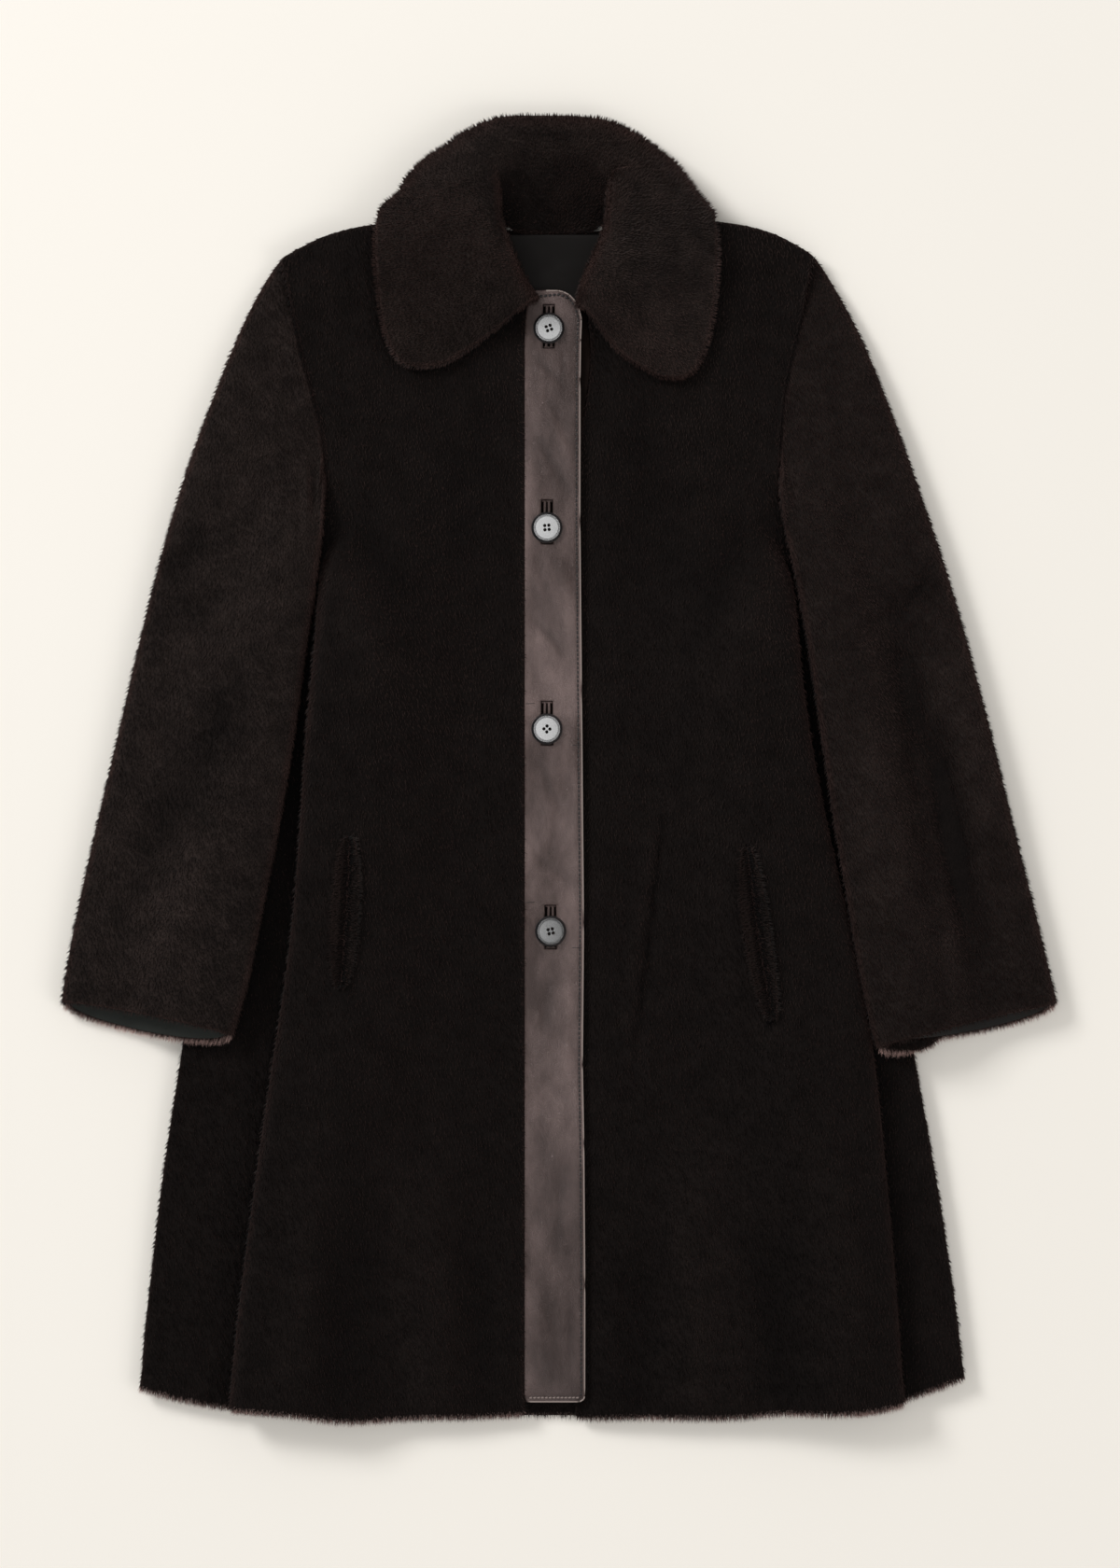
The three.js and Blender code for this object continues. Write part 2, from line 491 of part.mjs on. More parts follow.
// Collar, a row for each section from one front end round the back of the neck to the other. neck is where its
// stand is sewn on, roll is the top of its roll, turn lies on the way down, and edge is where its fall ends: on
// the fronts at the sides, and tucked under the back behind the neck.
const COLLAR = [
  {
    neckX: -18, neckY: 361, neckZ: 15, rollX: -23, rollY: 359, rollZ: 27,
    turnX: -56, turnY: 333, turnZ: 18, edgeX: -88, edgeY: 312, edgeZ: 17.6,
  },
  {
    neckX: -27, neckY: 374, neckZ: 17, rollX: -33, rollY: 374, rollZ: 30,
    turnX: -72, turnY: 340, turnZ: 19, edgeX: -113, edgeY: 309, edgeZ: 17.6,
  },
  {
    neckX: -36, neckY: 391, neckZ: 20, rollX: -40, rollY: 393, rollZ: 33,
    turnX: -89, turnY: 358, turnZ: 20, edgeX: -129, edgeY: 323, edgeZ: 17.6,
  },
  {
    neckX: -45, neckY: 407, neckZ: 23.6, rollX: -47, rollY: 418, rollZ: 36,
    turnX: -98, turnY: 386, turnZ: 25, edgeX: -137, edgeY: 357, edgeZ: 18.5,
  },
  {
    neckX: -50, neckY: 420, neckZ: 24, rollX: -51, rollY: 442, rollZ: 37,
    turnX: -104, turnY: 422, turnZ: 31, edgeX: -141, edgeY: 404, edgeZ: 30,
  },
  {
    neckX: -49, neckY: 423, neckZ: 22, rollX: -53, rollY: 452, rollZ: 37,
    turnX: -117, turnY: 440, turnZ: 29, edgeX: -134, edgeY: 432, edgeZ: 22,
  },
  {
    neckX: -48, neckY: 424, neckZ: 18, rollX: -54, rollY: 461, rollZ: 35,
    turnX: -119, turnY: 449, turnZ: 20, edgeX: -110, edgeY: 432, edgeZ: 3.6,
  },
  {
    neckX: -38, neckY: 416, neckZ: 11.5, rollX: -52, rollY: 476, rollZ: 32,
    turnX: -91, turnY: 475, turnZ: 16, edgeX: -78, edgeY: 448, edgeZ: 3.6,
  },
  {
    neckX: -22, neckY: 413, neckZ: 10.8, rollX: -33, rollY: 484, rollZ: 29,
    turnX: -58, turnY: 497, turnZ: 14, edgeX: -48, edgeY: 436, edgeZ: 3.6,
  },
  {
    neckX: -5, neckY: 412.4, neckZ: 10.8, rollX: -5, rollY: 486, rollZ: 28,
    turnX: -5, turnY: 500, turnZ: 13, edgeX: -5, edgeY: 431, edgeZ: 3.6,
  },
  {
    neckX: 13, neckY: 413, neckZ: 10.8, rollX: 22, rollY: 484, rollZ: 29,
    turnX: 44, turnY: 497, turnZ: 14, edgeX: 36, edgeY: 436, edgeZ: 3.6,
  },
  {
    neckX: 29, neckY: 416, neckZ: 11.5, rollX: 42, rollY: 474, rollZ: 32,
    turnX: 75, turnY: 475, turnZ: 16, edgeX: 66, edgeY: 448, edgeZ: 3.6,
  },
  {
    neckX: 39, neckY: 424, neckZ: 18, rollX: 46, rollY: 457, rollZ: 35,
    turnX: 101, turnY: 449, turnZ: 20, edgeX: 94, edgeY: 432, edgeZ: 3.6,
  },
  {
    neckX: 40, neckY: 423, neckZ: 22, rollX: 45, rollY: 448, rollZ: 37,
    turnX: 99, turnY: 440, turnZ: 29, edgeX: 115, edgeY: 432, edgeZ: 22,
  },
  {
    neckX: 41, neckY: 420, neckZ: 24, rollX: 44, rollY: 438, rollZ: 37,
    turnX: 90, turnY: 422, turnZ: 31, edgeX: 122, edgeY: 406, edgeZ: 30,
  },
  {
    neckX: 36, neckY: 405, neckZ: 23.6, rollX: 40, rollY: 416, rollZ: 36,
    turnX: 84, turnY: 384, turnZ: 25, edgeX: 120, edgeY: 360, edgeZ: 20,
  },
  {
    neckX: 28, neckY: 389, neckZ: 20, rollX: 32, rollY: 392, rollZ: 33,
    turnX: 74, turnY: 355, turnZ: 20, edgeX: 112, edgeY: 321, edgeZ: 17.6,
  },
  {
    neckX: 19, neckY: 372, neckZ: 17.6, rollX: 25, rollY: 371, rollZ: 31,
    turnX: 62, turnY: 333, turnZ: 18.5, edgeX: 97, edgeY: 301, edgeZ: 17.6,
  },
  {
    neckX: 16, neckY: 356, neckZ: 17.6, rollX: 21, rollY: 354, rollZ: 28,
    turnX: 48, turnY: 321, turnZ: 18, edgeX: 78, edgeY: 302, edgeZ: 17.6,
  },
];
const COLLAR_ALONG = 33;
const COLLAR_ACROSS = 13;
const COLLAR_PARTS = ["neck", "roll", "turn", "edge"];

function collarGrid() {
  const columns = COLLAR_PARTS.map((part) => ["X", "Y", "Z"].map((axis) => column(COLLAR, part + axis)));
  return Array.from({ length: COLLAR_ALONG }, (_, j) => {
    const t = j / (COLLAR_ALONG - 1);
    const corners = columns.map((axes) => new THREE.Vector3(...axes.map((axis) => axis(t))));
    return new THREE.CatmullRomCurve3(corners, false, "centripetal").getSpacedPoints(COLLAR_ACROSS - 1);
  });
}

const collarThickness = () => FUR;
addPiece("collar", wall(collarGrid(), collarThickness, () => 0), COLOURS.collar, 0.95);

// Lining of the back where the neck opening shows it, between the two necklines.
const NECK_LINING = [
  { y: 357.5, fromX: -24, toX: 19 },
  { y: 372, fromX: -29, toX: 23.5 },
  { y: 388, fromX: -34, toX: 27 },
  { y: 400, fromX: -39, toX: 32 },
  { y: 411, fromX: -46, toX: 39 },
];
const NECK_LINING_STEPS = 6;
const neckLiningGrid = NECK_LINING.map((row) =>
  Array.from({ length: NECK_LINING_STEPS + 1 }, (_, i) => {
    const x = mix(row.fromX, row.toX, i / NECK_LINING_STEPS);
    return new THREE.Vector3(x, row.y, FRONT_BASE + LINING + neckLift(x, row.y));
  }),
);
addPiece("back_neck_lining", levelWall(neckLiningGrid, LINING), COLOURS.lining, 0.45);

// Leather underlap on the left front's centre edge, under the button band.
const UNDERLAP = [
  { x: -15.5, y: -489 },
  { x: 13.7, y: -489 },
  { x: 13.7, y: 228 },
  { x: 18.4, y: 270 },
  { x: 24, y: 300 },
  { x: 24.6, y: 330 },
  { x: 21, y: 352 },
  { x: -15.5, y: 352 },
];

function plate(outline, holes, height, z) {
  const shape = new THREE.Shape(outline.map((p) => new THREE.Vector2(p.x, p.y)));
  shape.holes = holes;
  const geometry = new THREE.ExtrudeGeometry(shape, { depth: height, bevelEnabled: false, curveSegments: 3 });
  return geometry.translate(0, 0, z);
}

addPiece("underlap", plate(UNDERLAP, [], LEATHER, FRONT_BASE), COLOURS.leather, 0.5);

// Button band, its windows, the leather lips in them and the buttons.
const BAND = { thick: 3.5, z: FRONT_BASE + LEATHER + GAP };
const BAND_OUTLINE = [
  { x: -26.3, y: -486 },
  { x: -24.5, y: -490.5 },
  { x: 17, y: -490.5 },
  { x: 20.5, y: -486 },
  { x: 20.6, y: -400 },
  { x: 19.8, y: -290 },
  { x: 18.7, y: -230 },
  { x: 19.6, y: -120 },
  { x: 18, y: 60 },
  { x: 16.8, y: 190 },
  { x: 16.9, y: 300 },
  { x: 18.2, y: 346 },
  { x: 14.5, y: 358 },
  { x: 9, y: 365 },
  { x: 0, y: 368.5 },
  { x: -18, y: 366.5 },
  { x: -25, y: 358 },
  { x: -26.3, y: 350 },
];
const BUTTONS = [
  { x: -7.5, y: 339, holeTop: 357.5 },
  { x: -9, y: 185, holeTop: 206.5 },
  { x: -9, y: 29.5, holeTop: 51 },
  { x: -6.1, y: -126.7, holeTop: -106.5 },
];
const WINDOW = { wide: 9, long: 34, corner: 2 };
const SLIT = { wide: 3, long: 28 };
const BUTTON = { radius: 12, thick: 4, rim: 2.6, dish: 1, holeRadius: 1, holeAt: 2.1, shankRadius: 0.9 };

function roundedWindow(PathClass, button, inset) {
  const path = new PathClass();
  const left = button.x - WINDOW.wide / 2 + inset;
  const right = button.x + WINDOW.wide / 2 - inset;
  const top = button.holeTop - inset;
  const bottom = button.holeTop - WINDOW.long + inset;
  const r = WINDOW.corner;
  path.moveTo(left + r, bottom);
  path.lineTo(right - r, bottom);
  path.absarc(right - r, bottom + r, r, -Math.PI / 2, 0);
  path.lineTo(right, top - r);
  path.absarc(right - r, top - r, r, 0, Math.PI / 2);
  path.lineTo(left + r, top);
  path.absarc(left + r, top - r, r, Math.PI / 2, Math.PI);
  path.lineTo(left, bottom + r);
  path.absarc(left + r, bottom + r, r, Math.PI, 1.5 * Math.PI);
  return path;
}

const windows = BUTTONS.map((button) => roundedWindow(THREE.Path, button, 0));
addPiece("placket", plate(BAND_OUTLINE, windows, BAND.thick, BAND.z), COLOURS.leather, 0.45);

// A closed mesh as a solid that can be cut, and a solid back as a mesh.
function solidOf(geometry) {
  const bare = geometry.clone();
  bare.deleteAttribute("normal");
  bare.deleteAttribute("uv");
  const merged = mergeVertices(bare, 1e-3);
  const vertProperties = merged.attributes.position.array;
  const triVerts = new Uint32Array(merged.index.array);
  return new wasm.Manifold(new wasm.Mesh({ numProp: 3, vertProperties, triVerts }));
}

function geometryOf(solid) {
  const mesh = solid.getMesh();
  const geometry = new THREE.BufferGeometry();
  geometry.setAttribute("position", new THREE.BufferAttribute(mesh.vertProperties, 3));
  geometry.setIndex(new THREE.BufferAttribute(mesh.triVerts, 1));
  geometry.computeVertexNormals();
  return geometry;
}

// A round button with a raised rim, four holes and its thread shank down to the underlap.
function buttonGeometry() {
  const { radius, thick, rim, dish } = BUTTON;
  const profile = [
    new THREE.Vector2(0, 0),
    new THREE.Vector2(radius - 2.5, 0),
    new THREE.Vector2(radius, thick * 0.45),
    new THREE.Vector2(radius - 0.7, thick * 0.9),
    new THREE.Vector2(radius - 1.6, thick),
    new THREE.Vector2(radius - rim, thick - dish * 0.4),
    new THREE.Vector2(radius - rim - 1, thick - dish),
    new THREE.Vector2(0, thick - dish),
  ];
  let solid = solidOf(new THREE.LatheGeometry(profile, 24).rotateX(Math.PI / 2));
  for (const [dx, dy] of [[1, 1], [-1, 1], [-1, -1], [1, -1]]) {
    const hole = new THREE.CylinderGeometry(BUTTON.holeRadius, BUTTON.holeRadius, 3 * thick, 6);
    hole.rotateX(Math.PI / 2).translate(dx * BUTTON.holeAt, dy * BUTTON.holeAt, 0);
    solid = solid.subtract(solidOf(hole));
  }
  const reach = BAND.thick + GAP;
  const shank = new THREE.CylinderGeometry(BUTTON.shankRadius, BUTTON.shankRadius, reach + 1, 6);
  return geometryOf(solid.add(solidOf(shank.rotateX(Math.PI / 2).translate(0, 0, (1 - reach) / 2))));
}

BUTTONS.forEach((button, i) => {
  const slit = new THREE.Path();
  const top = button.holeTop - (WINDOW.long - SLIT.long) / 2;
  slit.moveTo(button.x - SLIT.wide / 2, top);
  slit.lineTo(button.x + SLIT.wide / 2, top);
  slit.lineTo(button.x + SLIT.wide / 2, top - SLIT.long);
  slit.lineTo(button.x - SLIT.wide / 2, top - SLIT.long);
  const lips = roundedWindow(THREE.Shape, button, GAP);
  lips.holes = [slit];
  const lipShape = { depth: BAND.thick - 1, bevelEnabled: false, curveSegments: 3 };
  const lipGeometry = new THREE.ExtrudeGeometry(lips, lipShape);
  lipGeometry.translate(0, 0, BAND.z);
  addPiece("buttonhole_" + (i + 1), lipGeometry, COLOURS.leather, 0.5);
  const mesh = addPiece("button_" + (i + 1), buttonGeometry(), COLOURS.button, 0.15);
  mesh.position.set(button.x, button.y, BAND.z + BAND.thick + GAP);
});

// Pocket welts: two fur lips along each slanted pocket mouth, raised from the front they lie on.
const POCKETS = {
  right: [
    { x: -161, y: -54 },
    { x: -163, y: -92 },
    { x: -165.5, y: -131 },
    { x: -168, y: -170 },
  ],
  left: [
    { x: 145, y: -62 },
    { x: 150, y: -106 },
    { x: 156.5, y: -150 },
    { x: 164.5, y: -194 },
  ],
};
const WELT = { wide: 9, high: 3.6, apart: 1.2, along: 11, across: 5, clear: 0.5 };

function heightOn(mesh, x, y) {
  const ray = new THREE.Raycaster(new THREE.Vector3(x, y, 200), new THREE.Vector3(0, 0, -1));
  return ray.intersectObject(mesh)[0].point.z;
}

function welt(front, mouth, side) {
  const curve = new THREE.CatmullRomCurve3(mouth.map((p) => new THREE.Vector3(p.x, p.y, 0)));
  const rows = Array.from({ length: WELT.along }, (_, j) => {
    const t = j / (WELT.along - 1);
    const p = curve.getPoint(t);
    const tangent = curve.getTangent(t);
    const out = new THREE.Vector3(-tangent.y, tangent.x, 0).multiplyScalar(side);
    const swell = 0.3 + 0.7 * Math.sin(Math.PI * t) ** 0.5;
    return Array.from({ length: WELT.across }, (__, i) => {
      const share = i / (WELT.across - 1);
      const point = p.clone().addScaledVector(out, WELT.apart / 2 + share * WELT.wide * swell);
      point.z = heightOn(front, point.x, point.y) + WELT.clear;
      return { point, rise: WELT.high * swell * (0.25 + 0.75 * Math.sin(Math.PI * mix(0.2, 0.95, share))) };
    });
  });
  const lower = rows.map((row) => row.map(({ point }) => point));
  const upper = rows.map((row) => row.map(({ point, rise }) => point.clone().setZ(point.z + rise)));
  return side > 0 ? closedSheets(lower, upper) : closedSheets(upper, lower);
}

for (const side of ["right", "left"]) {
  const front = coat.getObjectByName("front_" + side);
  const inwards = side === "right" ? 1 : -1;
  addPiece("pocket_welt_" + side + "_inner", welt(front, POCKETS[side], inwards), COLOURS.fur, 0.95);
  addPiece("pocket_welt_" + side + "_outer", welt(front, POCKETS[side], -inwards), COLOURS.fur, 0.95);
}

export default coat;
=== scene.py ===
import math

import bmesh
import bpy
import numpy as np
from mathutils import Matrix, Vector
from mathutils.bvhtree import BVHTree


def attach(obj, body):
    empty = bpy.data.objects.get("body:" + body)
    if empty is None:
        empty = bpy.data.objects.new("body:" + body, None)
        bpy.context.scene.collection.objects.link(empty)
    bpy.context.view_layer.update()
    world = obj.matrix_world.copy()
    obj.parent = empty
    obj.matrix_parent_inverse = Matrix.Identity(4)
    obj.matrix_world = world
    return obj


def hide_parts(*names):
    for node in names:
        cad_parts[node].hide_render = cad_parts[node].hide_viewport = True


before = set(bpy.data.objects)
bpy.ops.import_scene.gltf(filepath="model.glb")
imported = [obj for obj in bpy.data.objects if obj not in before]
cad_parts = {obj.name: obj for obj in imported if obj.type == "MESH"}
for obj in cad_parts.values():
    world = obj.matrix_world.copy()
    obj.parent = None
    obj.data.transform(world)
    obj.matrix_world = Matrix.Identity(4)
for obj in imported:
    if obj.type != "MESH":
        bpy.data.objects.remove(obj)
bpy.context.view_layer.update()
mm = 0.001


# Small helpers

def smooth(low, high, value):
    t = np.clip((value - low) / (high - low), 0.0, 1.0)
    return t * t * (3 - 2 * t)


def addObject(name, mesh):
    piece = bpy.data.objects.new(name, mesh)
    bpy.context.scene.collection.objects.link(piece)
    return piece


def ownMesh(piece, name):
    # the evaluated object as a plain mesh, its modifiers gone
    depsgraph = bpy.context.evaluated_depsgraph_get()
    mesh = bpy.data.meshes.new_from_object(piece.evaluated_get(depsgraph), depsgraph=depsgraph)
    mesh.name = name
    piece.modifiers.clear()
    return mesh


def meshPoints(mesh):
    flat = np.empty(len(mesh.vertices) * 3, dtype=np.float32)
    mesh.vertices.foreach_get("co", flat)
    return flat.reshape(-1, 3).astype(np.float64)


def meshNormals(mesh):
    flat = np.empty(len(mesh.vertices) * 3, dtype=np.float32)
    mesh.vertex_normals.foreach_get("vector", flat)
    return flat.reshape(-1, 3).astype(np.float64)


def setPoints(mesh, points):
    mesh.vertices.foreach_set("co", points.astype(np.float32).ravel())
    mesh.update()


def setFloats(mesh, name, values):
    layer = mesh.attributes.get(name) or mesh.attributes.new(name, "FLOAT", "POINT")
    layer.data.foreach_set("value", np.asarray(values, dtype=np.float32))


def setVectors(mesh, name, values):
    layer = mesh.attributes.get(name) or mesh.attributes.new(name, "FLOAT_VECTOR", "POINT")
    layer.data.foreach_set("vector", np.asarray(values, dtype=np.float32).ravel())


def shadeSmooth(mesh):
    mesh.polygons.foreach_set("use_smooth", [True] * len(mesh.polygons))
    mesh.update()


def finishPiece(piece, slot, *nodes):
    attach(piece, "root")
    if nodes:
        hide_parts(*nodes)


# Materials

def newMaterial(name):
    material = bpy.data.materials.new(name)
    material.use_nodes = True
    tree = material.node_tree
    shader = tree.nodes["Principled BSDF"]
    return material, tree, shader


def setInputs(shader, values):
    for key, value in values.items():
        shader.inputs[key].default_value = value


def addNode(tree, kind, inputs=None, **settings):
    node = tree.nodes.new(kind)
    for key, value in settings.items():
        setattr(node, key, value)
    for key, value in (inputs or {}).items():
        if hasattr(value, "links"):
            tree.links.new(value, node.inputs[key])
        else:
            node.inputs[key].default_value = value
    return node


def stored(tree, name):
    # the value that the mesh holds under this name
    return addNode(tree, "ShaderNodeAttribute", attribute_name=name).outputs["Fac"]


def objectPlace(tree):
    return addNode(tree, "ShaderNodeTexCoord").outputs["Object"]


def noiseFrom(tree, coordinates, size, detail=2.0, roughness=0.5, stretch=(1, 1, 1)):
    # noise whose blobs are about this size, in metres, on each axis times stretch
    scale = tuple(1 / (size * s) for s in stretch)
    mapping = addNode(tree, "ShaderNodeMapping", {"Vector": coordinates, "Scale": scale})
    inputs = {"Vector": mapping.outputs[0], "Scale": 1.0, "Detail": detail, "Roughness": roughness}
    return addNode(tree, "ShaderNodeTexNoise", inputs).outputs["Fac"]


def ramp(tree, factor, low, high, start=0.0, end=1.0):
    inputs = {"Value": factor, "From Min": low, "From Max": high, "To Min": start, "To Max": end}
    return addNode(tree, "ShaderNodeMapRange", inputs).outputs[0]


def mixColours(tree, factor, first, second, blend="MIX"):
    node = addNode(tree, "ShaderNodeMix", data_type="RGBA", blend_type=blend)
    for socket, value in ((node.inputs[0], factor), (node.inputs[6], first), (node.inputs[7], second)):
        if hasattr(value, "links"):
            tree.links.new(value, socket)
        else:
            socket.default_value = value
    return node.outputs[2]


def grey(tree, value):
    return addNode(tree, "ShaderNodeCombineColor", {0: value, 1: value, 2: value}).outputs[0]


def shaded(tree, colour, value):
    return mixColours(tree, 1.0, colour, grey(tree, value), "MULTIPLY")


furLook = {
    "root": (0.0022, 0.0015, 0.0013, 1),
    "tip": (0.0175, 0.0118, 0.0102, 1),
    "skin": (0.0035, 0.0025, 0.0022, 1),
    "sheen": (0.62, 0.36, 0.32, 1),
    "mottle": 0.017,
    "patch": 0.08,
    "streak": 0.007,
}


def paintedLightAndShade(tree, colour):
    # painted shade, darker where little light falls in: under the sleeves, in the folds and inside the
    # collar
    lit = stored(tree, "lit")
    colour = shaded(tree, colour, ramp(tree, lit, 0.35, 0.95, 0.14, 1.1))
    # painted highlight on the ridges of the creases, and painted shade in their troughs and beside the
    # pocket slits
    tone = stored(tree, "tone")
    colour = shaded(tree, colour, ramp(tree, tone, -3.5, 3.5, 0.55, 1.5))
    # painted warm rim highlight where the cloth turns away from the camera, at its outlines and fold edges
    turned = stored(tree, "turned")
    rimHighlight = mixColours(tree, 1.0, colour, (2.1, 1.55, 1.5, 1), "MULTIPLY")
    return mixColours(tree, turned, colour, rimHighlight)


def furMaterial(name, gain, sheenWeight=0.2, tint=(1, 1, 1)):
    # gain lifts every colour: painted light, so that the collar and sleeves, one fur with the fronts, are a
    # little lighter than the fronts
    material, tree, shader = newMaterial(name)
    place = objectPlace(tree)
    tip = stored(tree, "tip")
    shade = stored(tree, "shade")
    lifted = lambda colour: tuple(c * gain * t for c, t in zip(colour, tint)) + (1,)
    hair = mixColours(tree, tip, lifted(furLook["root"]), lifted(furLook["tip"]))
    mottle = ramp(tree, noiseFrom(tree, place, furLook["mottle"], 3.0), 0.3, 0.72, 0.64, 1.38)
    patch = ramp(tree, noiseFrom(tree, place, furLook["patch"], 2.0), 0.3, 0.7, 0.72, 1.32)
    streak = noiseFrom(tree, place, furLook["streak"], 2.0, stretch=(1, 9, 1))
    streak = ramp(tree, streak, 0.3, 0.7, 0.78, 1.24)
    single = ramp(tree, shade, 0.0, 1.0, 0.72, 1.34)
    # a little darker towards the hem
    height = addNode(tree, "ShaderNodeSeparateXYZ", {0: place}).outputs[1]
    lower = ramp(tree, height, -0.42, 0.2, 0.5, 1.04)
    for factor in (mottle, patch, streak, single, lower):
        hair = shaded(tree, hair, factor)
    tree.links.new(paintedLightAndShade(tree, hair), shader.inputs["Base Color"])
    setInputs(shader, {
        "Roughness": 0.6, "Specular IOR Level": 0.14, "Sheen Weight": sheenWeight,
        "Sheen Roughness": 0.35, "Sheen Tint": furLook["sheen"],
    })
    return material


def skinMaterial(name, gain):
    # what lies between the hairs: the pile's dark depth, with its clumps as bump
    material, tree, shader = newMaterial(name)
    place = objectPlace(tree)
    colour = tuple(c * gain for c in furLook["skin"][:3]) + (1,)
    mottle = ramp(tree, noiseFrom(tree, place, furLook["mottle"], 3.0), 0.3, 0.72, 0.7, 1.3)
    hair = noiseFrom(tree, place, 0.0011, 3.0, 0.6, stretch=(1, 2.4, 1))
    colour = shaded(tree, colour, mottle)
    colour = shaded(tree, colour, ramp(tree, hair, 0.3, 0.7, 0.4, 1.7))
    tree.links.new(paintedLightAndShade(tree, colour), shader.inputs["Base Color"])
    bump = addNode(tree, "ShaderNodeBump", {"Strength": 0.9, "Distance": 0.0012, "Height": hair})
    tree.links.new(bump.outputs[0], shader.inputs["Normal"])
    setInputs(shader, {
        "Roughness": 0.85, "Specular IOR Level": 0.08, "Sheen Weight": 0.1, "Sheen Roughness": 0.5,
        "Sheen Tint": furLook["sheen"],
    })
    return material


print("materials: fur")
# one fur in lighter and darker copies, painted light: lighter on the sleeves and collar than on the fronts,
# and on the right sleeve than on the left
fur = {
    "front": furMaterial("fur of the fronts", 1.08),
    "sleeve": furMaterial("fur of the sleeves", 1.65),
    "left sleeve": furMaterial("fur of the left sleeve", 1.25),
    "collar": furMaterial("fur of the collar", 1.65),
    "edge": furMaterial("pale hair at the cut edges", 26.0, tint=(1, 1.22, 1.3)),
}
# the same painted light in the depth between the hairs
skin = {
    "front": skinMaterial("depth of the fronts", 0.9),
    "sleeve": skinMaterial("depth of the sleeves", 3.1),
    "left sleeve": skinMaterial("depth of the left sleeve", 2.2),
    "collar": skinMaterial("depth of the collar", 3.4),
}


# Cloth shells: each stands on its node's form, finer and softer

def clothShell(name, nodeName, levels, edgeCrease):
    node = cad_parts[nodeName]
    form = bmesh.new()
    form.from_mesh(node.data)
    bmesh.ops.remove_doubles(form, verts=form.verts, dist=1e-5)
    bmesh.ops.join_triangles(
        form, faces=form.faces,
        angle_face_threshold=math.radians(50), angle_shape_threshold=math.radians(70),
    )
    creases = form.edges.layers.float.new("crease_edge")
    for edge in form.edges:
        if len(edge.link_faces) == 2 and edge.calc_face_angle(0) > math.radians(55):
            edge[creases] = edgeCrease
    mesh = bpy.data.meshes.new(name)
    form.to_mesh(mesh)
    form.free()
    piece = addObject(name, mesh)
    finer = piece.modifiers.new("finer", "SUBSURF")
    finer.levels = levels
    finer.render_levels = levels
    piece.data = ownMesh(piece, name)
    shadeSmooth(piece.data)
    return piece


shellPlan = {
    "right front": {"node": "front_right", "levels": 2, "skin": "front"},
    "left front": {"node": "front_left", "levels": 2, "skin": "front"},
    "back": {"node": "back", "levels": 1, "skin": "front"},
    "right sleeve": {"node": "sleeve_right", "levels": 2, "skin": "sleeve"},
    "left sleeve": {"node": "sleeve_left", "levels": 2, "skin": "left sleeve"},
    "collar": {"node": "collar", "levels": 2, "skin": "collar"},
}
welts = [side + " pocket " + lip + " welt" for side in ("right", "left") for lip in ("inner", "outer")]
for title in welts:
    side, _, lip, _ = title.split()
    shellPlan[title] = {"node": "pocket_welt_" + side + "_" + lip, "levels": 1, "skin": "front"}
shells = {}
for title, plan in shellPlan.items():
    shell = clothShell(title.replace(" ", "_") + "_cloth", plan["node"], plan["levels"], 0.75)
    shell.data.materials.append(skin[plan["skin"]])
    shells[title] = shell
print("cloth shells:", {t: len(s.data.polygons) for t, s in shells.items()})


# Which points show: a point whose way up is clear is fully open, one at a side less so

def openShares(shellObjects):
    forms = []
    allPoints, allFaces, count = [], [], 0
    for shell in shellObjects:
        points = meshPoints(shell.data)
        forms.append((points, meshNormals(shell.data)))
        allPoints.extend(map(tuple, points))
        allFaces.extend([[count + v for v in face.vertices] for face in shell.data.polygons])
        count += len(points)
    tree = BVHTree.FromPolygons(allPoints, allFaces)
    slanted = [Vector(d).normalized() for d in ((1, 0, 1), (-1, 0, 1), (0, 1, 1), (0, -1, 1))]
    level = [Vector(d).normalized() for d in ((1, 0, 0.1), (-1, 0, 0.1), (0, 1, 0.1), (0, -1, 0.1))]

    turns = np.arange(0.3, 6.3, 1.05)
    around = [Vector((math.cos(a), math.sin(a), h)).normalized() for h in (0.35, 1.2) for a in turns]

    def litAt(point, normal):
        # share of the light that falls in from above and from all sides
        start = point + normal * 1.5 * mm
        free = sum(1 for way in around if tree.ray_cast(start, way, 0.09)[0] is None)
        return free / len(around)

    def openAt(point, normal):
        if normal.z < -0.75:
            return 0.0
        start = point + normal * 0.4 * mm
        if normal.z > -0.1 and tree.ray_cast(start, Vector((0, 0, 1)))[0] is None:
            return 1.0
        for directions, share in ((slanted, 0.7), (level, 0.45)):
            for way in directions:
                if way.dot(normal) > 0.15 and tree.ray_cast(start, way)[0] is None:
                    return share
        return 0.0

    shares = []
    for points, normals in forms:
        pairs = [(Vector(p), Vector(n)) for p, n in zip(points, normals)]
        seen = np.array([openAt(p, n) for p, n in pairs])
        lit = np.array([litAt(p, n) if s > 0 else 0.5 for (p, n), s in zip(pairs, seen)])
        shares.append((seen, lit))
    return shares


# Creases of the whole coat as it lies, in mm: soft troughs (depth below 0) and ridges, each along its own
# line. Those of one side are answered by uneven ones on the other.

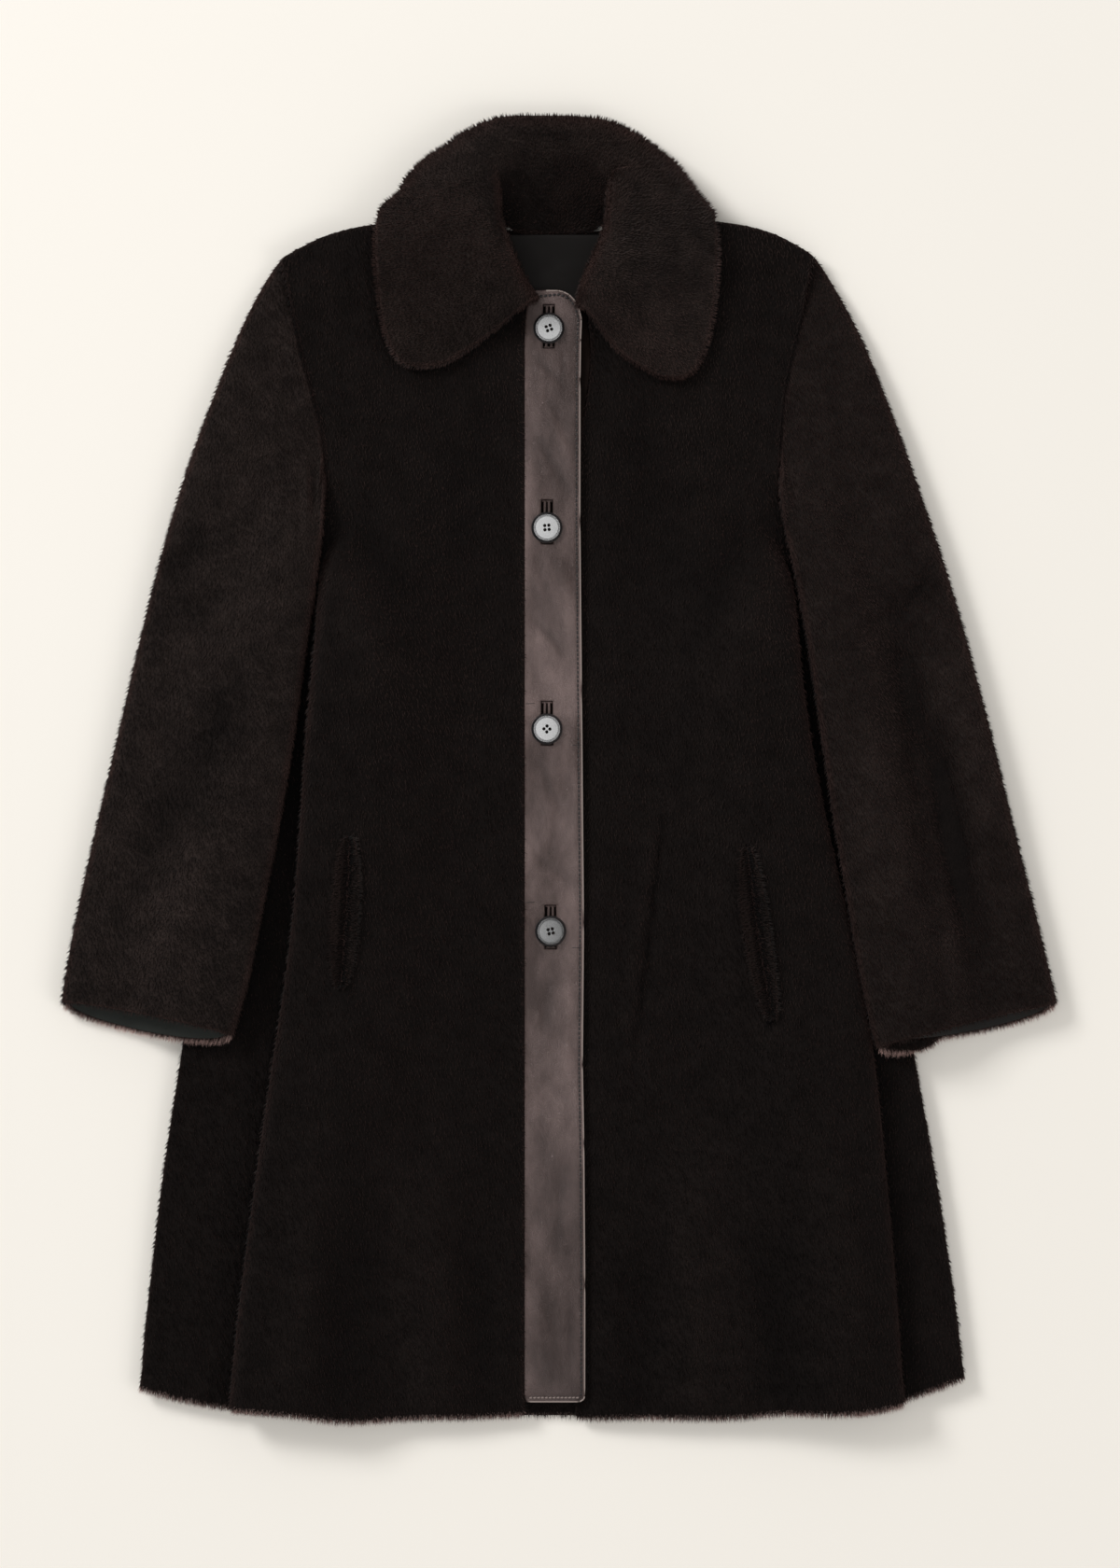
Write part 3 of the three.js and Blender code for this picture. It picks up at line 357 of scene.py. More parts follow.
creases = [
    # from x, from y, to x, to y, width, depth
    (-95, -498, -118, -250, 26, 2.6),
    (-168, -500, -160, -300, 22, -2.2),
    (-60, -495, -72, -330, 18, -1.8),
    (-205, -480, -186, -210, 16, 1.6),
    (-120, 120, -168, 205, 20, -2.4),
    (-140, 60, -172, 170, 16, 1.8),
    (-60, 250, -105, 120, 26, -1.2),
    (60, -498, 66, -330, 20, -2.0),
    (118, -498, 102, -240, 26, 2.8),
    (176, -490, 158, -330, 20, -2.4),
    (222, -480, 206, -230, 15, 1.6),
    (112, 130, 158, 205, 18, -2.2),
    (132, 60, 163, 165, 16, 2.0),
    (58, 260, 90, 100, 24, -1.4),
    (74, -40, 46, -278, 7, 1.6),
    (80, -42, 52, -276, 3.6, -2.4),
    (-300, 150, -262, 190, 12, -2.2),
    (-306, 120, -248, 132, 11, -1.8),
    (-250, 60, -330, -120, 20, -2.2),
    (-276, -60, -322, -190, 18, 1.8),
    (252, 118, 300, 150, 11, -2.4),
    (262, 96, 318, -170, 17, -3.0),
    (236, 20, 268, -150, 18, 1.8),
    (300, 90, 345, -90, 18, 2.0),
    (278, 20, 314, -215, 8, 1.8),
    (294, 20, 334, -215, 13, -2.0),
]
creaseGain = 1.7  # every depth in the table is raised by this


def creaseHeight(points):
    # how far each point is raised, in metres, fading out towards both ends of every crease
    height = np.zeros(len(points))
    plan = points[:, :2] / mm
    for fromX, fromY, toX, toY, width, depth in creases:
        start = np.array([fromX, fromY], dtype=float)
        along = np.array([toX, toY], dtype=float) - start
        length = np.linalg.norm(along)
        share = np.clip((plan - start) @ along / length**2, 0, 1)
        away = np.linalg.norm(plan - start - share[:, None] * along, axis=1)
        fade = smooth(0.0, 0.12, share + 0.06) * smooth(0.0, 0.45, 1.0 - share)
        height += creaseGain * depth * mm * fade * np.exp(-((away / width) ** 2))
    return height


def unevenness(points):
    # a low swell with no repeat, so that no surface is ruled
    x, y = points[:, 0] / mm, points[:, 1] / mm
    wave = np.sin(x / 31 + 1.3 * np.sin(y / 67)) * np.sin(y / 43 + 0.8 * np.sin(x / 52))
    small = np.sin(x / 11.3 + y / 17.1) * np.sin(y / 13.7 - x / 23.9)
    return (0.7 * wave + 0.35 * small) * mm


furInset = 1.6 * mm  # the cloth lies this far inside its node where hair stands on it
edgeFill = 0.9 * mm  # and this far outside it at the outline
napDown = {"right sleeve": (-0.34, -0.94, 0), "left sleeve": (0.34, -0.94, 0)}  # else straight down
rimBelow = {"sleeve": -165 * mm, "body": -460 * mm}  # pale cut edges lie below these heights
collarCentre = np.array([-5 * mm, 395 * mm, 0])
neckHole = {"x": -5.5, "y": 449, "halfWide": 49, "halfHigh": 41}
frontEdge = -26.7 * mm  # where the right front meets the button band

print("finding what shows")
for (title, shell), (share, lit) in zip(shells.items(), openShares(list(shells.values()))):
    mesh = shell.data
    points, normals = meshPoints(mesh), meshNormals(mesh)
    facing = smooth(0.2, 0.7, normals[:, 2]) * (share > 0.9)
    isWelt = "welt" in title
    # at the outline the cloth fills its node and the hair stands out of it
    inset = furInset * smooth(0.25, 0.8, normals[:, 2]) - edgeFill * smooth(0.5, 0.0, abs(normals[:, 2]))
    points -= normals * ((share > 0.3) * inset)[:, None]
    if isWelt:
        # painted shadow on the side towards the slit, and a little painted light on the rest of the welt
        outwards = (1 if "outer" in title else -1) * (-1 if "right" in title else 1)
        inSlit = normals[:, 0] * outwards < -0.1
        tone = np.where(inSlit, -6.0, 0.9)
        lit = np.where(inSlit, 0.45, lit)
    else:
        rise = creaseHeight(points)
        points[:, 2] += facing * (rise + unevenness(points))
        # painted highlight on the ridges of the creases, painted shade in their troughs
        tone = facing * rise / mm
    # painted warm rim highlight where the cloth turns away from the camera, none on the welts
    turned = 0.6 * smooth(0.92, 0.35, normals[:, 2]) * (share > 0.3) * (not isWelt)
    if title == "left sleeve":
        # the upper layer of this cuff hangs over the lower one
        upper = smooth(13 * mm, 19 * mm, points[:, 2])
        points[:, 1] -= 9 * mm * upper * smooth(-172 * mm, -202 * mm, points[:, 1])
    setPoints(mesh, points)
    setFloats(mesh, "tone", tone)
    setFloats(mesh, "turned", turned)
    nap = np.tile(np.array(napDown.get(title, (0, -1, 0)), dtype=float), (len(points), 1))
    if title == "collar":
        # the collar's hair lies outwards from the neck
        nap = points - collarCentre
        nap[:, 2] = 0
        nap /= np.maximum(np.linalg.norm(nap, axis=1), 1e-6)[:, None]
        # inside the neck the stand lies lower than the roll round it, in its shadow
        neck = abs((points[:, 0] / mm - neckHole["x"]) / neckHole["halfWide"]) ** 4
        neck += abs((points[:, 1] / mm - neckHole["y"]) / neckHole["halfHigh"]) ** 4
        inNeck = smooth(1.25, 0.8, neck) * smooth(31 * mm, 27 * mm, points[:, 2])
        lit = lit * (1 - 0.42 * inNeck)
    lowEdge = rimBelow["sleeve" if "sleeve" in title else "body"]
    if isWelt:
        # the hair of each welt lies away from the slit
        nap[:] = (outwards, -0.35, 0)
    # hair at the front's edge beside the button band leans over the leather
    besideBand = abs(points[:, 0] - frontEdge) < 2.5 * mm
    besideBand &= (normals[:, 0] > 0.3) & (normals[:, 2] > -0.3)
    if title == "right front":
        nap[(points[:, 0] > -31 * mm) & (points[:, 1] < 330 * mm)] = (1.0, -0.5, 0)
        share = np.where(besideBand & (points[:, 2] > 9 * mm), 0.9, share)
        nap[besideBand] = (0.75, -0.5, 0.2)
    atRim = (normals[:, 1] < -0.7) & (points[:, 1] < lowEdge) & (share > 0.2)
    if "sleeve" in title:
        # only the lower layer of a cuff shows its pale edge
        atRim &= points[:, 2] < 12 * mm + 0.104 * (380 * mm - abs(points[:, 0]))
        lit = np.where(atRim, 0.95, lit)
    setFloats(mesh, "lit", lit)
    setFloats(mesh, "pile", share)
    setFloats(mesh, "rim", atRim.astype(float))
    setVectors(mesh, "nap", nap)


# Fur: one Geometry Nodes tree, run over every cloth shell

def furTree():
    tree = bpy.data.node_groups.new("sheared pile", "GeometryNodeTree")
    face = tree.interface
    face.new_socket("Geometry", in_out="INPUT", socket_type="NodeSocketGeometry")
    for name, kind in (
        ("Density", "NodeSocketFloat"), ("Length", "NodeSocketFloat"), ("Radius", "NodeSocketFloat"),
        ("Lean", "NodeSocketFloat"), ("Jitter", "NodeSocketFloat"), ("Seed", "NodeSocketInt"),
        ("Where", "NodeSocketString"), ("Material", "NodeSocketMaterial"),
    ):
        face.new_socket(name, in_out="INPUT", socket_type=kind)
    face.new_socket("Geometry", in_out="OUTPUT", socket_type="NodeSocketGeometry")
    given = addNode(tree, "NodeGroupInput").outputs

    def math2(operation, a, b):
        return addNode(tree, "ShaderNodeMath", {0: a, 1: b}, operation=operation).outputs[0]

    def vector2(operation, a, b):
        return addNode(tree, "ShaderNodeVectorMath", {0: a, 1: b}, operation=operation).outputs[0]

    def scaled(vector, factor):
        inputs = {0: vector, "Scale": factor}
        return addNode(tree, "ShaderNodeVectorMath", inputs, operation="SCALE").outputs[0]

    def between(low, high, drawn):
        inputs = {2: low, 3: high, "Seed": math2("ADD", given["Seed"], drawn)}
        return addNode(tree, "FunctionNodeRandomValue", inputs, data_type="FLOAT").outputs[1]

    def named(name, kind):
        return addNode(tree, "GeometryNodeInputNamedAttribute", {"Name": name}, data_type=kind).outputs[0]

    def keep(geometry, name, value, domain):
        inputs = {"Geometry": geometry, "Name": name, "Value": value}
        return addNode(
            tree, "GeometryNodeStoreNamedAttribute", inputs, data_type="FLOAT", domain=domain
        ).outputs[0]

    # where hair stands, and how thickly
    where = named(given["Where"], "FLOAT")
    thick = math2("MULTIPLY", where, given["Density"])
    scatter = addNode(
        tree, "GeometryNodeDistributePointsOnFaces",
        {"Mesh": given["Geometry"], "Density": thick, "Seed": given["Seed"]}, distribute_method="RANDOM",
    )

    # one hair lock: a slim closed spike, its tip marked for the colour
    cone = addNode(
        tree, "GeometryNodeMeshCone",
        {"Vertices": 3, "Radius Top": 0.0, "Radius Bottom": given["Radius"], "Depth": given["Length"]},
    ).outputs["Mesh"]
    onCone = addNode(tree, "GeometryNodeInputPosition").outputs[0]
    height = addNode(tree, "ShaderNodeSeparateXYZ", {0: onCone}).outputs[2]
    share = math2("DIVIDE", height, given["Length"])
    spike = keep(cone, "tip", share, "POINT")

    # each lock leans with the nap, clumps with its neighbours and strays a little
    nap = named("nap", "FLOAT_VECTOR")
    place = addNode(tree, "GeometryNodeInputPosition").outputs[0]
    clump = addNode(
        tree, "ShaderNodeTexNoise", {"Vector": place, "Scale": 290.0, "Detail": 2.0, "Roughness": 0.55}
    ).outputs["Color"]
    clump = scaled(vector2("SUBTRACT", clump, (0.5, 0.5, 0.5)), 1.7)
    stray = addNode(
        tree, "FunctionNodeRandomValue", {0: (-1, -1, -1), 1: (1, 1, 1), "Seed": given["Seed"]},
        data_type="FLOAT_VECTOR",
    ).outputs[0]
    loose = scaled(vector2("ADD", clump, scaled(stray, 0.55)), given["Jitter"])
    tilt = vector2("ADD", scaled(nap, given["Lean"]), loose)
    # the nap attribute reaches the points by interpolation, as their normal does
    way = vector2("ADD", scatter.outputs["Normal"], tilt)
    turn = addNode(tree, "FunctionNodeAlignRotationToVector", {"Vector": way}, axis="Z").outputs[0]
    long = between(0.65, 1.25, 7)
    # shorter where the cloth turns away
    long = math2("MULTIPLY", long, ramp(tree, where, 0.2, 0.95, 0.5, 1.0))
    size = addNode(tree, "ShaderNodeCombineXYZ", {0: 1.0, 1: 1.0, 2: long}).outputs[0]
    locks = addNode(
        tree, "GeometryNodeInstanceOnPoints",
        {"Points": scatter.outputs["Points"], "Instance": spike, "Rotation": turn, "Scale": size},
    ).outputs[0]
    locks = keep(locks, "shade", between(0.0, 1.0, 13), "INSTANCE")
    real = addNode(tree, "GeometryNodeRealizeInstances", {"Geometry": locks}).outputs[0]
    painted = {"Geometry": real, "Material": given["Material"]}
    done = addNode(tree, "GeometryNodeSetMaterial", painted).outputs[0]
    addNode(tree, "NodeGroupOutput", {"Geometry": done})
    return tree


pileTree = furTree()


def pileArea(mesh, where):
    # the area hair stands on, weighted by the share stored on each point
    shares = np.empty(len(mesh.vertices), dtype=np.float32)
    mesh.attributes[where].data.foreach_get("value", shares)
    total = 0.0
    for face in mesh.polygons:
        total += face.area * float(np.mean([shares[v] for v in face.vertices]))
    return total


def growFur(name, shell, material, count, length, radius, lean, jitter, seed, where="pile"):
    piece = addObject(name, shell.data.copy())
    settings = {
        "Density": count / max(pileArea(shell.data, where), 1e-6), "Length": length, "Radius": radius,
        "Lean": lean, "Jitter": jitter, "Seed": seed, "Where": where, "Material": material,
    }
    modifier = piece.modifiers.new("pile", "NODES")
    modifier.node_group = pileTree
    for item in pileTree.interface.items_tree:
        if item.in_out == "INPUT" and item.name in settings:
            modifier[item.identifier] = settings[item.name]
    piece.data = ownMesh(piece, name)
    if not piece.data.materials:
        piece.data.materials.append(material)
    return piece


# Hair: how many locks, how long in mm, how far they lean and stray
lockRadius = 0.46 * mm
whiskerRadius = 0.22 * mm
whiskerSeed = 40
furPlan = {
    "right front": {"count": 37000, "length": 3.6, "lean": 1.1, "jitter": 0.34, "look": "front"},
    "left front": {"count": 37000, "length": 3.6, "lean": 1.1, "jitter": 0.34, "look": "front"},
    "back": {"count": 7000, "length": 3.4, "lean": 0.8, "jitter": 0.5, "look": "front"},
    "right sleeve": {"count": 24000, "length": 3.4, "lean": 1.1, "jitter": 0.28, "look": "sleeve"},
    "left sleeve": {"count": 24000, "length": 3.4, "lean": 1.1, "jitter": 0.28, "look": "left sleeve"},
    "collar": {"count": 26000, "length": 3.4, "lean": 0.8, "jitter": 0.38, "look": "collar"},
}
for title in welts:
    furPlan[title] = {"count": 1500, "length": 3.2, "lean": 0.9, "jitter": 0.4, "look": "front"}
# pale hair that stands out of the cut edges, at the hem and the cuffs
rimPlan = {
    "right front": {"count": 3400, "length": 5.0},
    "left front": {"count": 3400, "length": 5.0},
    "back": {"count": 2200, "length": 4.8},
    "right sleeve": {"count": 1100, "length": 5.0},
    "left sleeve": {"count": 1100, "length": 5.0},
}

print("growing the fur")
furPieces = {}
for seed, (title, plan) in enumerate(furPlan.items(), 3):
    name = title.replace(" ", "_")
    shell = shells[title]
    hair = growFur(
        name + "_fur", shell, fur[plan["look"]], plan["count"], plan["length"] * mm, lockRadius,
        plan["lean"], plan["jitter"], seed,
    )
    furPieces[title] = [hair]
    slot = "collar_fur" if title == "collar" else "fur"
    finishPiece(shell, slot, shellPlan[title]["node"])
    finishPiece(hair, slot, shellPlan[title]["node"])
    if title in rimPlan:
        edge = rimPlan[title]
        whiskers = growFur(
            name + "_edge_hair", shell, fur["edge"], edge["count"], edge["length"] * mm, whiskerRadius,
            0.5, 0.5, seed + whiskerSeed, where="rim",
        )
        furPieces[title].append(whiskers)
        finishPiece(whiskers, "fur", shellPlan[title]["node"])
print("fur:", {t: sum(len(p.data.polygons) for p in found) for t, found in furPieces.items()})


# Linings: satin, in the cuffs and behind the neck

def satinMaterial(name, colour):
    material, tree, shader = newMaterial(name)
    place = objectPlace(tree)
    weave = noiseFrom(tree, place, 0.0009, 1.0, 0.4, stretch=(0.35, 1, 1))
    cloud = ramp(tree, noiseFrom(tree, place, 0.03, 2.0), 0.3, 0.7, 0.85, 1.15)
    tint = shaded(tree, colour, cloud)
    tree.links.new(tint, shader.inputs["Base Color"])
    bump = addNode(tree, "ShaderNodeBump", {"Strength": 0.12, "Distance": 0.0002, "Height": weave})
    tree.links.new(bump.outputs[0], shader.inputs["Normal"])
    setInputs(shader, {
        "Roughness": 0.58, "Anisotropic": 0.4, "Specular IOR Level": 0.07, "Sheen Weight": 0.05,
    })
    return material


liningPlan = {
    # painted shade: the neck lining is coloured darker than the cuff linings for the shade of the neck's
    # hollow
    "neck lining": {"node": "back_neck_lining", "wrinkle": 0.5, "colour": (0.0062, 0.0052, 0.0048, 1)},
    "right cuff lining": {"node": "cuff_lining_right", "wrinkle": 1.1, "colour": (0.02, 0.022, 0.02, 1)},
    "left cuff lining": {"node": "cuff_lining_left", "wrinkle": 1.1, "colour": (0.02, 0.019, 0.018, 1)},
}
linings = {}
for title, plan in liningPlan.items():
    lining = clothShell(title.replace(" ", "_"), plan["node"], 2, 0.9)
    points, normals = meshPoints(lining.data), meshNormals(lining.data)
    x, y = points[:, 0] / mm, points[:, 1] / mm
    # slack folds that run into the sleeve, or hang across the back of the neck
    if "cuff" in title:
        fold = np.sin(x / 7.5 + 0.5 * np.sin(y / 18)) * np.sin(x / 17 + 1)
    else:
        fold = np.sin(y / 6.5 + 0.9 * np.sin(x / 21)) * np.exp(-(((x + 3) / 24) ** 2))
    points[:, 2] += plan["wrinkle"] * 0.5 * mm * fold * (normals[:, 2] > 0)
    setPoints(lining.data, points)
    lining.data.materials.append(satinMaterial(title + " satin", plan["colour"]))
    finishPiece(lining, "lining", plan["node"])
    linings[title] = lining
print("linings:", {t: len(p.data.polygons) for t, p in linings.items()})


# Leather: the button band, its buttonhole lips and the underlap

leatherLook = {
    "band": {
        "low": (0.037, 0.024, 0.0215, 1), "high": (0.118, 0.085, 0.08, 1),
        "rough": 0.35, "bump": 0.9, "shine": 0.42,
    },
    # painted shade: the underlap's leather is coloured near black for the shade it lies in beside the band
    "under": {
        "low": (0.0035, 0.0024, 0.002, 1), "high": (0.009, 0.0055, 0.0045, 1),
        "rough": 0.85, "bump": 0.3, "shine": 0.03,
    },
}


def leatherMaterial(name, look):
    material, tree, shader = newMaterial(name)
    place = objectPlace(tree)
    cloud = ramp(tree, noiseFrom(tree, place, 0.034, 4.0, 0.55, stretch=(1, 2.2, 1)), 0.36, 0.66)
    tint = mixColours(tree, cloud, look["low"], look["high"])
    scale = addNode(tree, "ShaderNodeMapping", {"Vector": place, "Scale": (900, 780, 900)})
    cells = addNode(
        tree, "ShaderNodeTexVoronoi", {"Vector": scale.outputs[0], "Scale": 1.0}, feature="DISTANCE_TO_EDGE"
    ).outputs["Distance"]
    pores = ramp(tree, cells, 0.0, 0.16, 0.0, 1.0)
    fine = noiseFrom(tree, place, 0.0016, 3.0, 0.6)
    wrinkle = noiseFrom(tree, place, 0.007, 3.0, 0.6, stretch=(1, 1.9, 1))
    grain = addNode(tree, "ShaderNodeMath", {0: pores, 1: fine}, operation="ADD").outputs[0]
    swell = noiseFrom(tree, place, 0.03, 2.0, 0.5, stretch=(1, 1.5, 1))
    broad = addNode(tree, "ShaderNodeBump", {"Strength": 0.7, "Distance": 0.008, "Height": swell})
    first = addNode(
        tree, "ShaderNodeBump",
        {"Strength": 0.6, "Distance": 0.0026, "Height": wrinkle, "Normal": broad.outputs[0]},
    )
    second = addNode(
        tree, "ShaderNodeBump",
        {"Strength": look["bump"], "Distance": 0.0004, "Height": grain, "Normal": first.outputs[0]},
    )
    tint = shaded(tree, tint, ramp(tree, pores, 0.0, 1.0, 0.86, 1.03))
    # wear and painted light from its relief: paler on the ridges of its creases and on the roll of its
    # right edge, darker in the troughs and the stitch groove
    worn = stored(tree, "worn")
    tint = shaded(tree, tint, ramp(tree, worn, -0.5, 0.5, 0.68, 1.38))
    # painted highlight along its left side
    across = addNode(tree, "ShaderNodeSeparateXYZ", {0: place}).outputs[0]
    tint = shaded(tree, tint, ramp(tree, across, -0.026, -0.012, 1.25, 1.0))
    # painted light and shade along its wrinkles
    tint = shaded(tree, tint, ramp(tree, wrinkle, 0.3, 0.7, 0.88, 1.12))
    # painted highlight in the middle of its length, and painted shade towards its ends, most at the top
    height = addNode(tree, "ShaderNodeSeparateXYZ", {0: place}).outputs[1]
    for low, high, start, end in ((-0.44, 0.0, 0.82, 1.3), (0.1, 0.36, 1.0, 0.66)):
        tint = shaded(tree, tint, ramp(tree, height, low, high, start, end))
    tree.links.new(tint, shader.inputs["Base Color"])
    rough = ramp(tree, cloud, 0.0, 1.0, look["rough"] + 0.07, look["rough"] - 0.05)
    tree.links.new(rough, shader.inputs["Roughness"])
    tree.links.new(second.outputs[0], shader.inputs["Normal"])
    setInputs(shader, {
        "Specular IOR Level": look["shine"], "Specular Tint": (1, 0.85, 0.82, 1),
        "Coat Weight": look["shine"] * 0.15, "Coat Roughness": 0.3,
    })
    return material


leather = {name: leatherMaterial(name + " leather", look) for name, look in leatherLook.items()}

band = {
    "bottom": 9.6, "top": 13.1, "round": 1.3,
    # right and left edges, at heights in mm: the left one runs under the right front's hair
    "heights": [-490.5, -486, -400, -290, -230, -120, 60, 190, 300, 330, 346, 354, 360, 365, 368.5],
    "right": [17, 20.5, 20.6, 19.8, 18.7, 19.6, 18, 16.8, 16.9, 17.4, 18.2, 16.4, 13.2, 8.6, 1.0],
    "left": [-24.5] + [-26.3] * 9 + [-26.0, -25.0, -23.4, -21, -17],
    # soft creases in mm: from x, from y, to x, to y, width, depth
    "creases": [
        (-24, 322, 10, 290, 2.6, -0.35),
        (-10, 320, -16, 262, 3.2, 0.3),
        (4, 318, 2, 285, 2.4, -0.3),
        (-20, 262, 10, 208, 3.4, -0.4),
        (-8, 276, 14, 225, 3.0, 0.35),
        (12, 350, 13, 322, 2.2, -0.3),
        (-18, 168, -4, 120, 3.2, -0.3),
        (2, 170, 12, 104, 3.6, 0.3),
        (-22, 118, 8, 84, 3.4, -0.28),
        (-16, 8, 6, -44, 3.4, -0.32),
        (4, 10, -14, -70, 3.8, 0.3),
        (-20, -66, 12, -92, 3.0, -0.25),
        (-4, -146, -12, -210, 4.2, -0.3),
        (8, -150, 6, -240, 4.4, 0.32),
        (-20, -230, 10, -262, 3.6, -0.26),
        (4, -300, -2, -380, 4.4, -0.3),
        (10, -390, 9, -470, 3.0, -0.35),
        (-18, -400, -8, -450, 4.0, 0.26),
    ],
    "seams": [(-22, 49), (-22, -104.5), (14, 17), (14, -139.5)],
}


def bandRelief(x, y):
    # the band's own creases and swell over a flat top, in mm
    height = 0.12 * np.sin(y / 23 + 0.6 * np.sin(x / 9)) + 0.07 * np.sin(y / 9.3 + x / 7)
    for fromX, fromY, toX, toY, width, depth in band["creases"]:
        alongX, alongY = toX - fromX, toY - fromY
        share = ((x - fromX) * alongX + (y - fromY) * alongY) / (alongX**2 + alongY**2)
        share = np.clip(share, 0, 1)
        away = np.hypot(x - fromX - share * alongX, y - fromY - share * alongY)
        fade = np.sin(np.pi * np.clip(share * 0.9 + 0.05, 0, 1))
        height += depth * fade * np.exp(-((away / width) ** 2))
    right = np.interp(y, band["heights"], band["right"])
    stitchLine = np.exp(-(((x - right + 2.9) / 0.8) ** 2)) + np.exp(-(((y + 487.2) / 0.7) ** 2))
    roll = np.exp(-(((x - right + 1.3) / 1.1) ** 2))
    return 1.3 * height - 1.0 * stitchLine + 0.4 * roll


buttonPlan = [
    {"x": -7.5, "y": 339, "holeTop": 357.5, "turn": 20, "tilt": (0.008, 0.0)},
    {"x": -9, "y": 185, "holeTop": 206.5, "turn": 4, "tilt": (-0.0125, 0.002)},
    {"x": -9, "y": 29.5, "holeTop": 51, "turn": 42, "tilt": (-0.0145, 0.003)},
    {"x": -6.1, "y": -126.7, "holeTop": -106.5, "turn": 12, "tilt": (-0.018, -0.003)},
]
for number, plan in enumerate(buttonPlan, 1):
    plan["node"] = "button_" + str(number)
    plan["hole"] = "buttonhole_" + str(number)
window = {"wide": 9, "long": 34}


def meshFrom(name, points, faces):
    mesh = bpy.data.meshes.new(name)
    mesh.from_pydata([tuple(float(c) * mm for c in p) for p in points], [], faces)
    form = bmesh.new()
    form.from_mesh(mesh)
    bmesh.ops.recalc_face_normals(form, faces=form.faces)
    form.to_mesh(mesh)
    form.free()
    shadeSmooth(mesh)
    return mesh


def closedGrid(top, bottom, isOpen):
    # faces of a slab with holes: two point grids and the cells left out, its walls closed
    rows, cols = top.shape[:2]
    points = np.concatenate([top.reshape(-1, 3), bottom.reshape(-1, 3)])
    low = rows * cols
    faces, sides = [], {}
    for j in range(rows - 1):
        for i in range(cols - 1):
            if isOpen[j, i]:
                continue
            ring = [j * cols + i, j * cols + i + 1, (j + 1) * cols + i + 1, (j + 1) * cols + i]
            faces.append(ring)
            faces.append([low + v for v in reversed(ring)])
            for a, b in zip(ring, ring[1:] + ring[:1]):
                if (b, a) in sides:
                    del sides[(b, a)]
                else:
                    sides[(a, b)] = True
    faces.extend([b, a, low + a, low + b] for a, b in sides)
    used = sorted({v for face in faces for v in face})
    place = {v: k for k, v in enumerate(used)}
    return points[used], [[place[v] for v in face] for face in faces]


def spaced(start, end, step, edges=(0.3, 0.75, 1.4)):
    # positions from start to end, closer together beside both of them
    count = int((end - start - 2 * edges[-1]) / step) + 1
    inner = np.linspace(start + edges[-1], end - edges[-1], max(2, count))
    near = [start] + [start + e for e in edges[:-1]]
    far = [end - e for e in reversed(edges[:-1])] + [end]
    return np.concatenate([near, inner, far])


bandLow, bandHigh = band["heights"][0], band["heights"][-1]
bandCells = (14, 6, 18)  # across the band: left of the windows, over them and right of them


def bandMesh():
    rowEnds = [bandLow]
    for plan in reversed(buttonPlan):
        rowEnds += [plan["holeTop"] - window["long"], plan["holeTop"]]
    rowEnds.append(bandHigh)
    heights = [spaced(a, b, 2.3)[: None if b == bandHigh else -1] for a, b in zip(rowEnds, rowEnds[1:])]
    heights = np.concatenate(heights)
    half = window["long"] / 2
    order = sorted(buttonPlan, key=lambda plan: plan["y"])
    centres = [plan["holeTop"] - half for plan in order]
    middles = np.interp(heights, centres, [plan["x"] for plan in order])
    top = []
    for y, middle in zip(heights, middles):
        left, right = (np.interp(y, band["heights"], band[side]) for side in ("left", "right"))
        span = [left, middle - window["wide"] / 2, middle + window["wide"] / 2, right]
        xs = []
        for k, cells in enumerate(bandCells):
            part = np.interp(np.linspace(0, 1, cells + 1), [0, 0.08, 0.92, 1], [0, 0.04, 0.96, 1])
            xs.append(span[k] + part[: None if k == 2 else -1] * (span[k + 1] - span[k]))
        xs = np.concatenate(xs)
        toEdge = np.minimum(np.minimum(xs - left, right - xs), min(y - bandLow, bandHigh - y))
        nearest = min(buttonPlan, key=lambda plan: abs(plan["holeTop"] - half - y))
        above = abs(nearest["holeTop"] - half - y) - half
        beside = np.maximum(np.abs(xs - nearest["x"]) - window["wide"] / 2, above)
        round1 = np.clip(1 - toEdge / band["round"], 0, 1)
        round2 = np.clip(1 - np.maximum(beside, 0) / 1.1, 0, 1)
        drop = band["round"] * (1 - np.sqrt(1 - round1**2)) + 1.0 * (1 - np.sqrt(1 - round2**2))
        relief = bandRelief(xs, np.full(len(xs), y)) * smooth(0.0, 2.5, toEdge)
        top.append(np.stack([xs, np.full(len(xs), y), band["top"] - 0.1 + relief - drop], axis=1))
    top = np.array(top)
    bottom = top.copy()
    bottom[:, :, 2] = band["bottom"]
    isOpen = np.zeros((len(heights) - 1, top.shape[1] - 1), dtype=bool)
    for j in range(len(heights) - 1):
        mid = (heights[j] + heights[j + 1]) / 2
        inside = any(plan["holeTop"] - window["long"] < mid < plan["holeTop"] for plan in buttonPlan)
        isOpen[j, bandCells[0]:bandCells[0] + bandCells[1]] = inside
    return meshFrom("button_band", *closedGrid(top, bottom, isOpen))


print("button band")
bandPiece = addObject("button_band", bandMesh())
bandPiece.data.materials.append(leather["band"])
bandPoints = meshPoints(bandPiece.data) / mm
onTop = bandPoints[:, 2] > band["top"] - 2
# the relief of the band's top, kept for its wear and painted light
setFloats(bandPiece.data, "worn", onTop * bandRelief(bandPoints[:, 0], bandPoints[:, 1]))
finishPiece(bandPiece, "leather", "placket")
print("band polygons:", len(bandPiece.data.polygons))


def closeTube(faces, first, steps, sides):
    # walls between rings of points, and a cap at each end
    for k in range(steps):
        for n in range(sides):
            a, b = first + k * sides + n, first + k * sides + (n + 1) % sides
            faces.append([a, b, b + sides, a + sides])
    faces.append([first + n for n in reversed(range(sides))])
    faces.append([first + steps * sides + n for n in range(sides)])


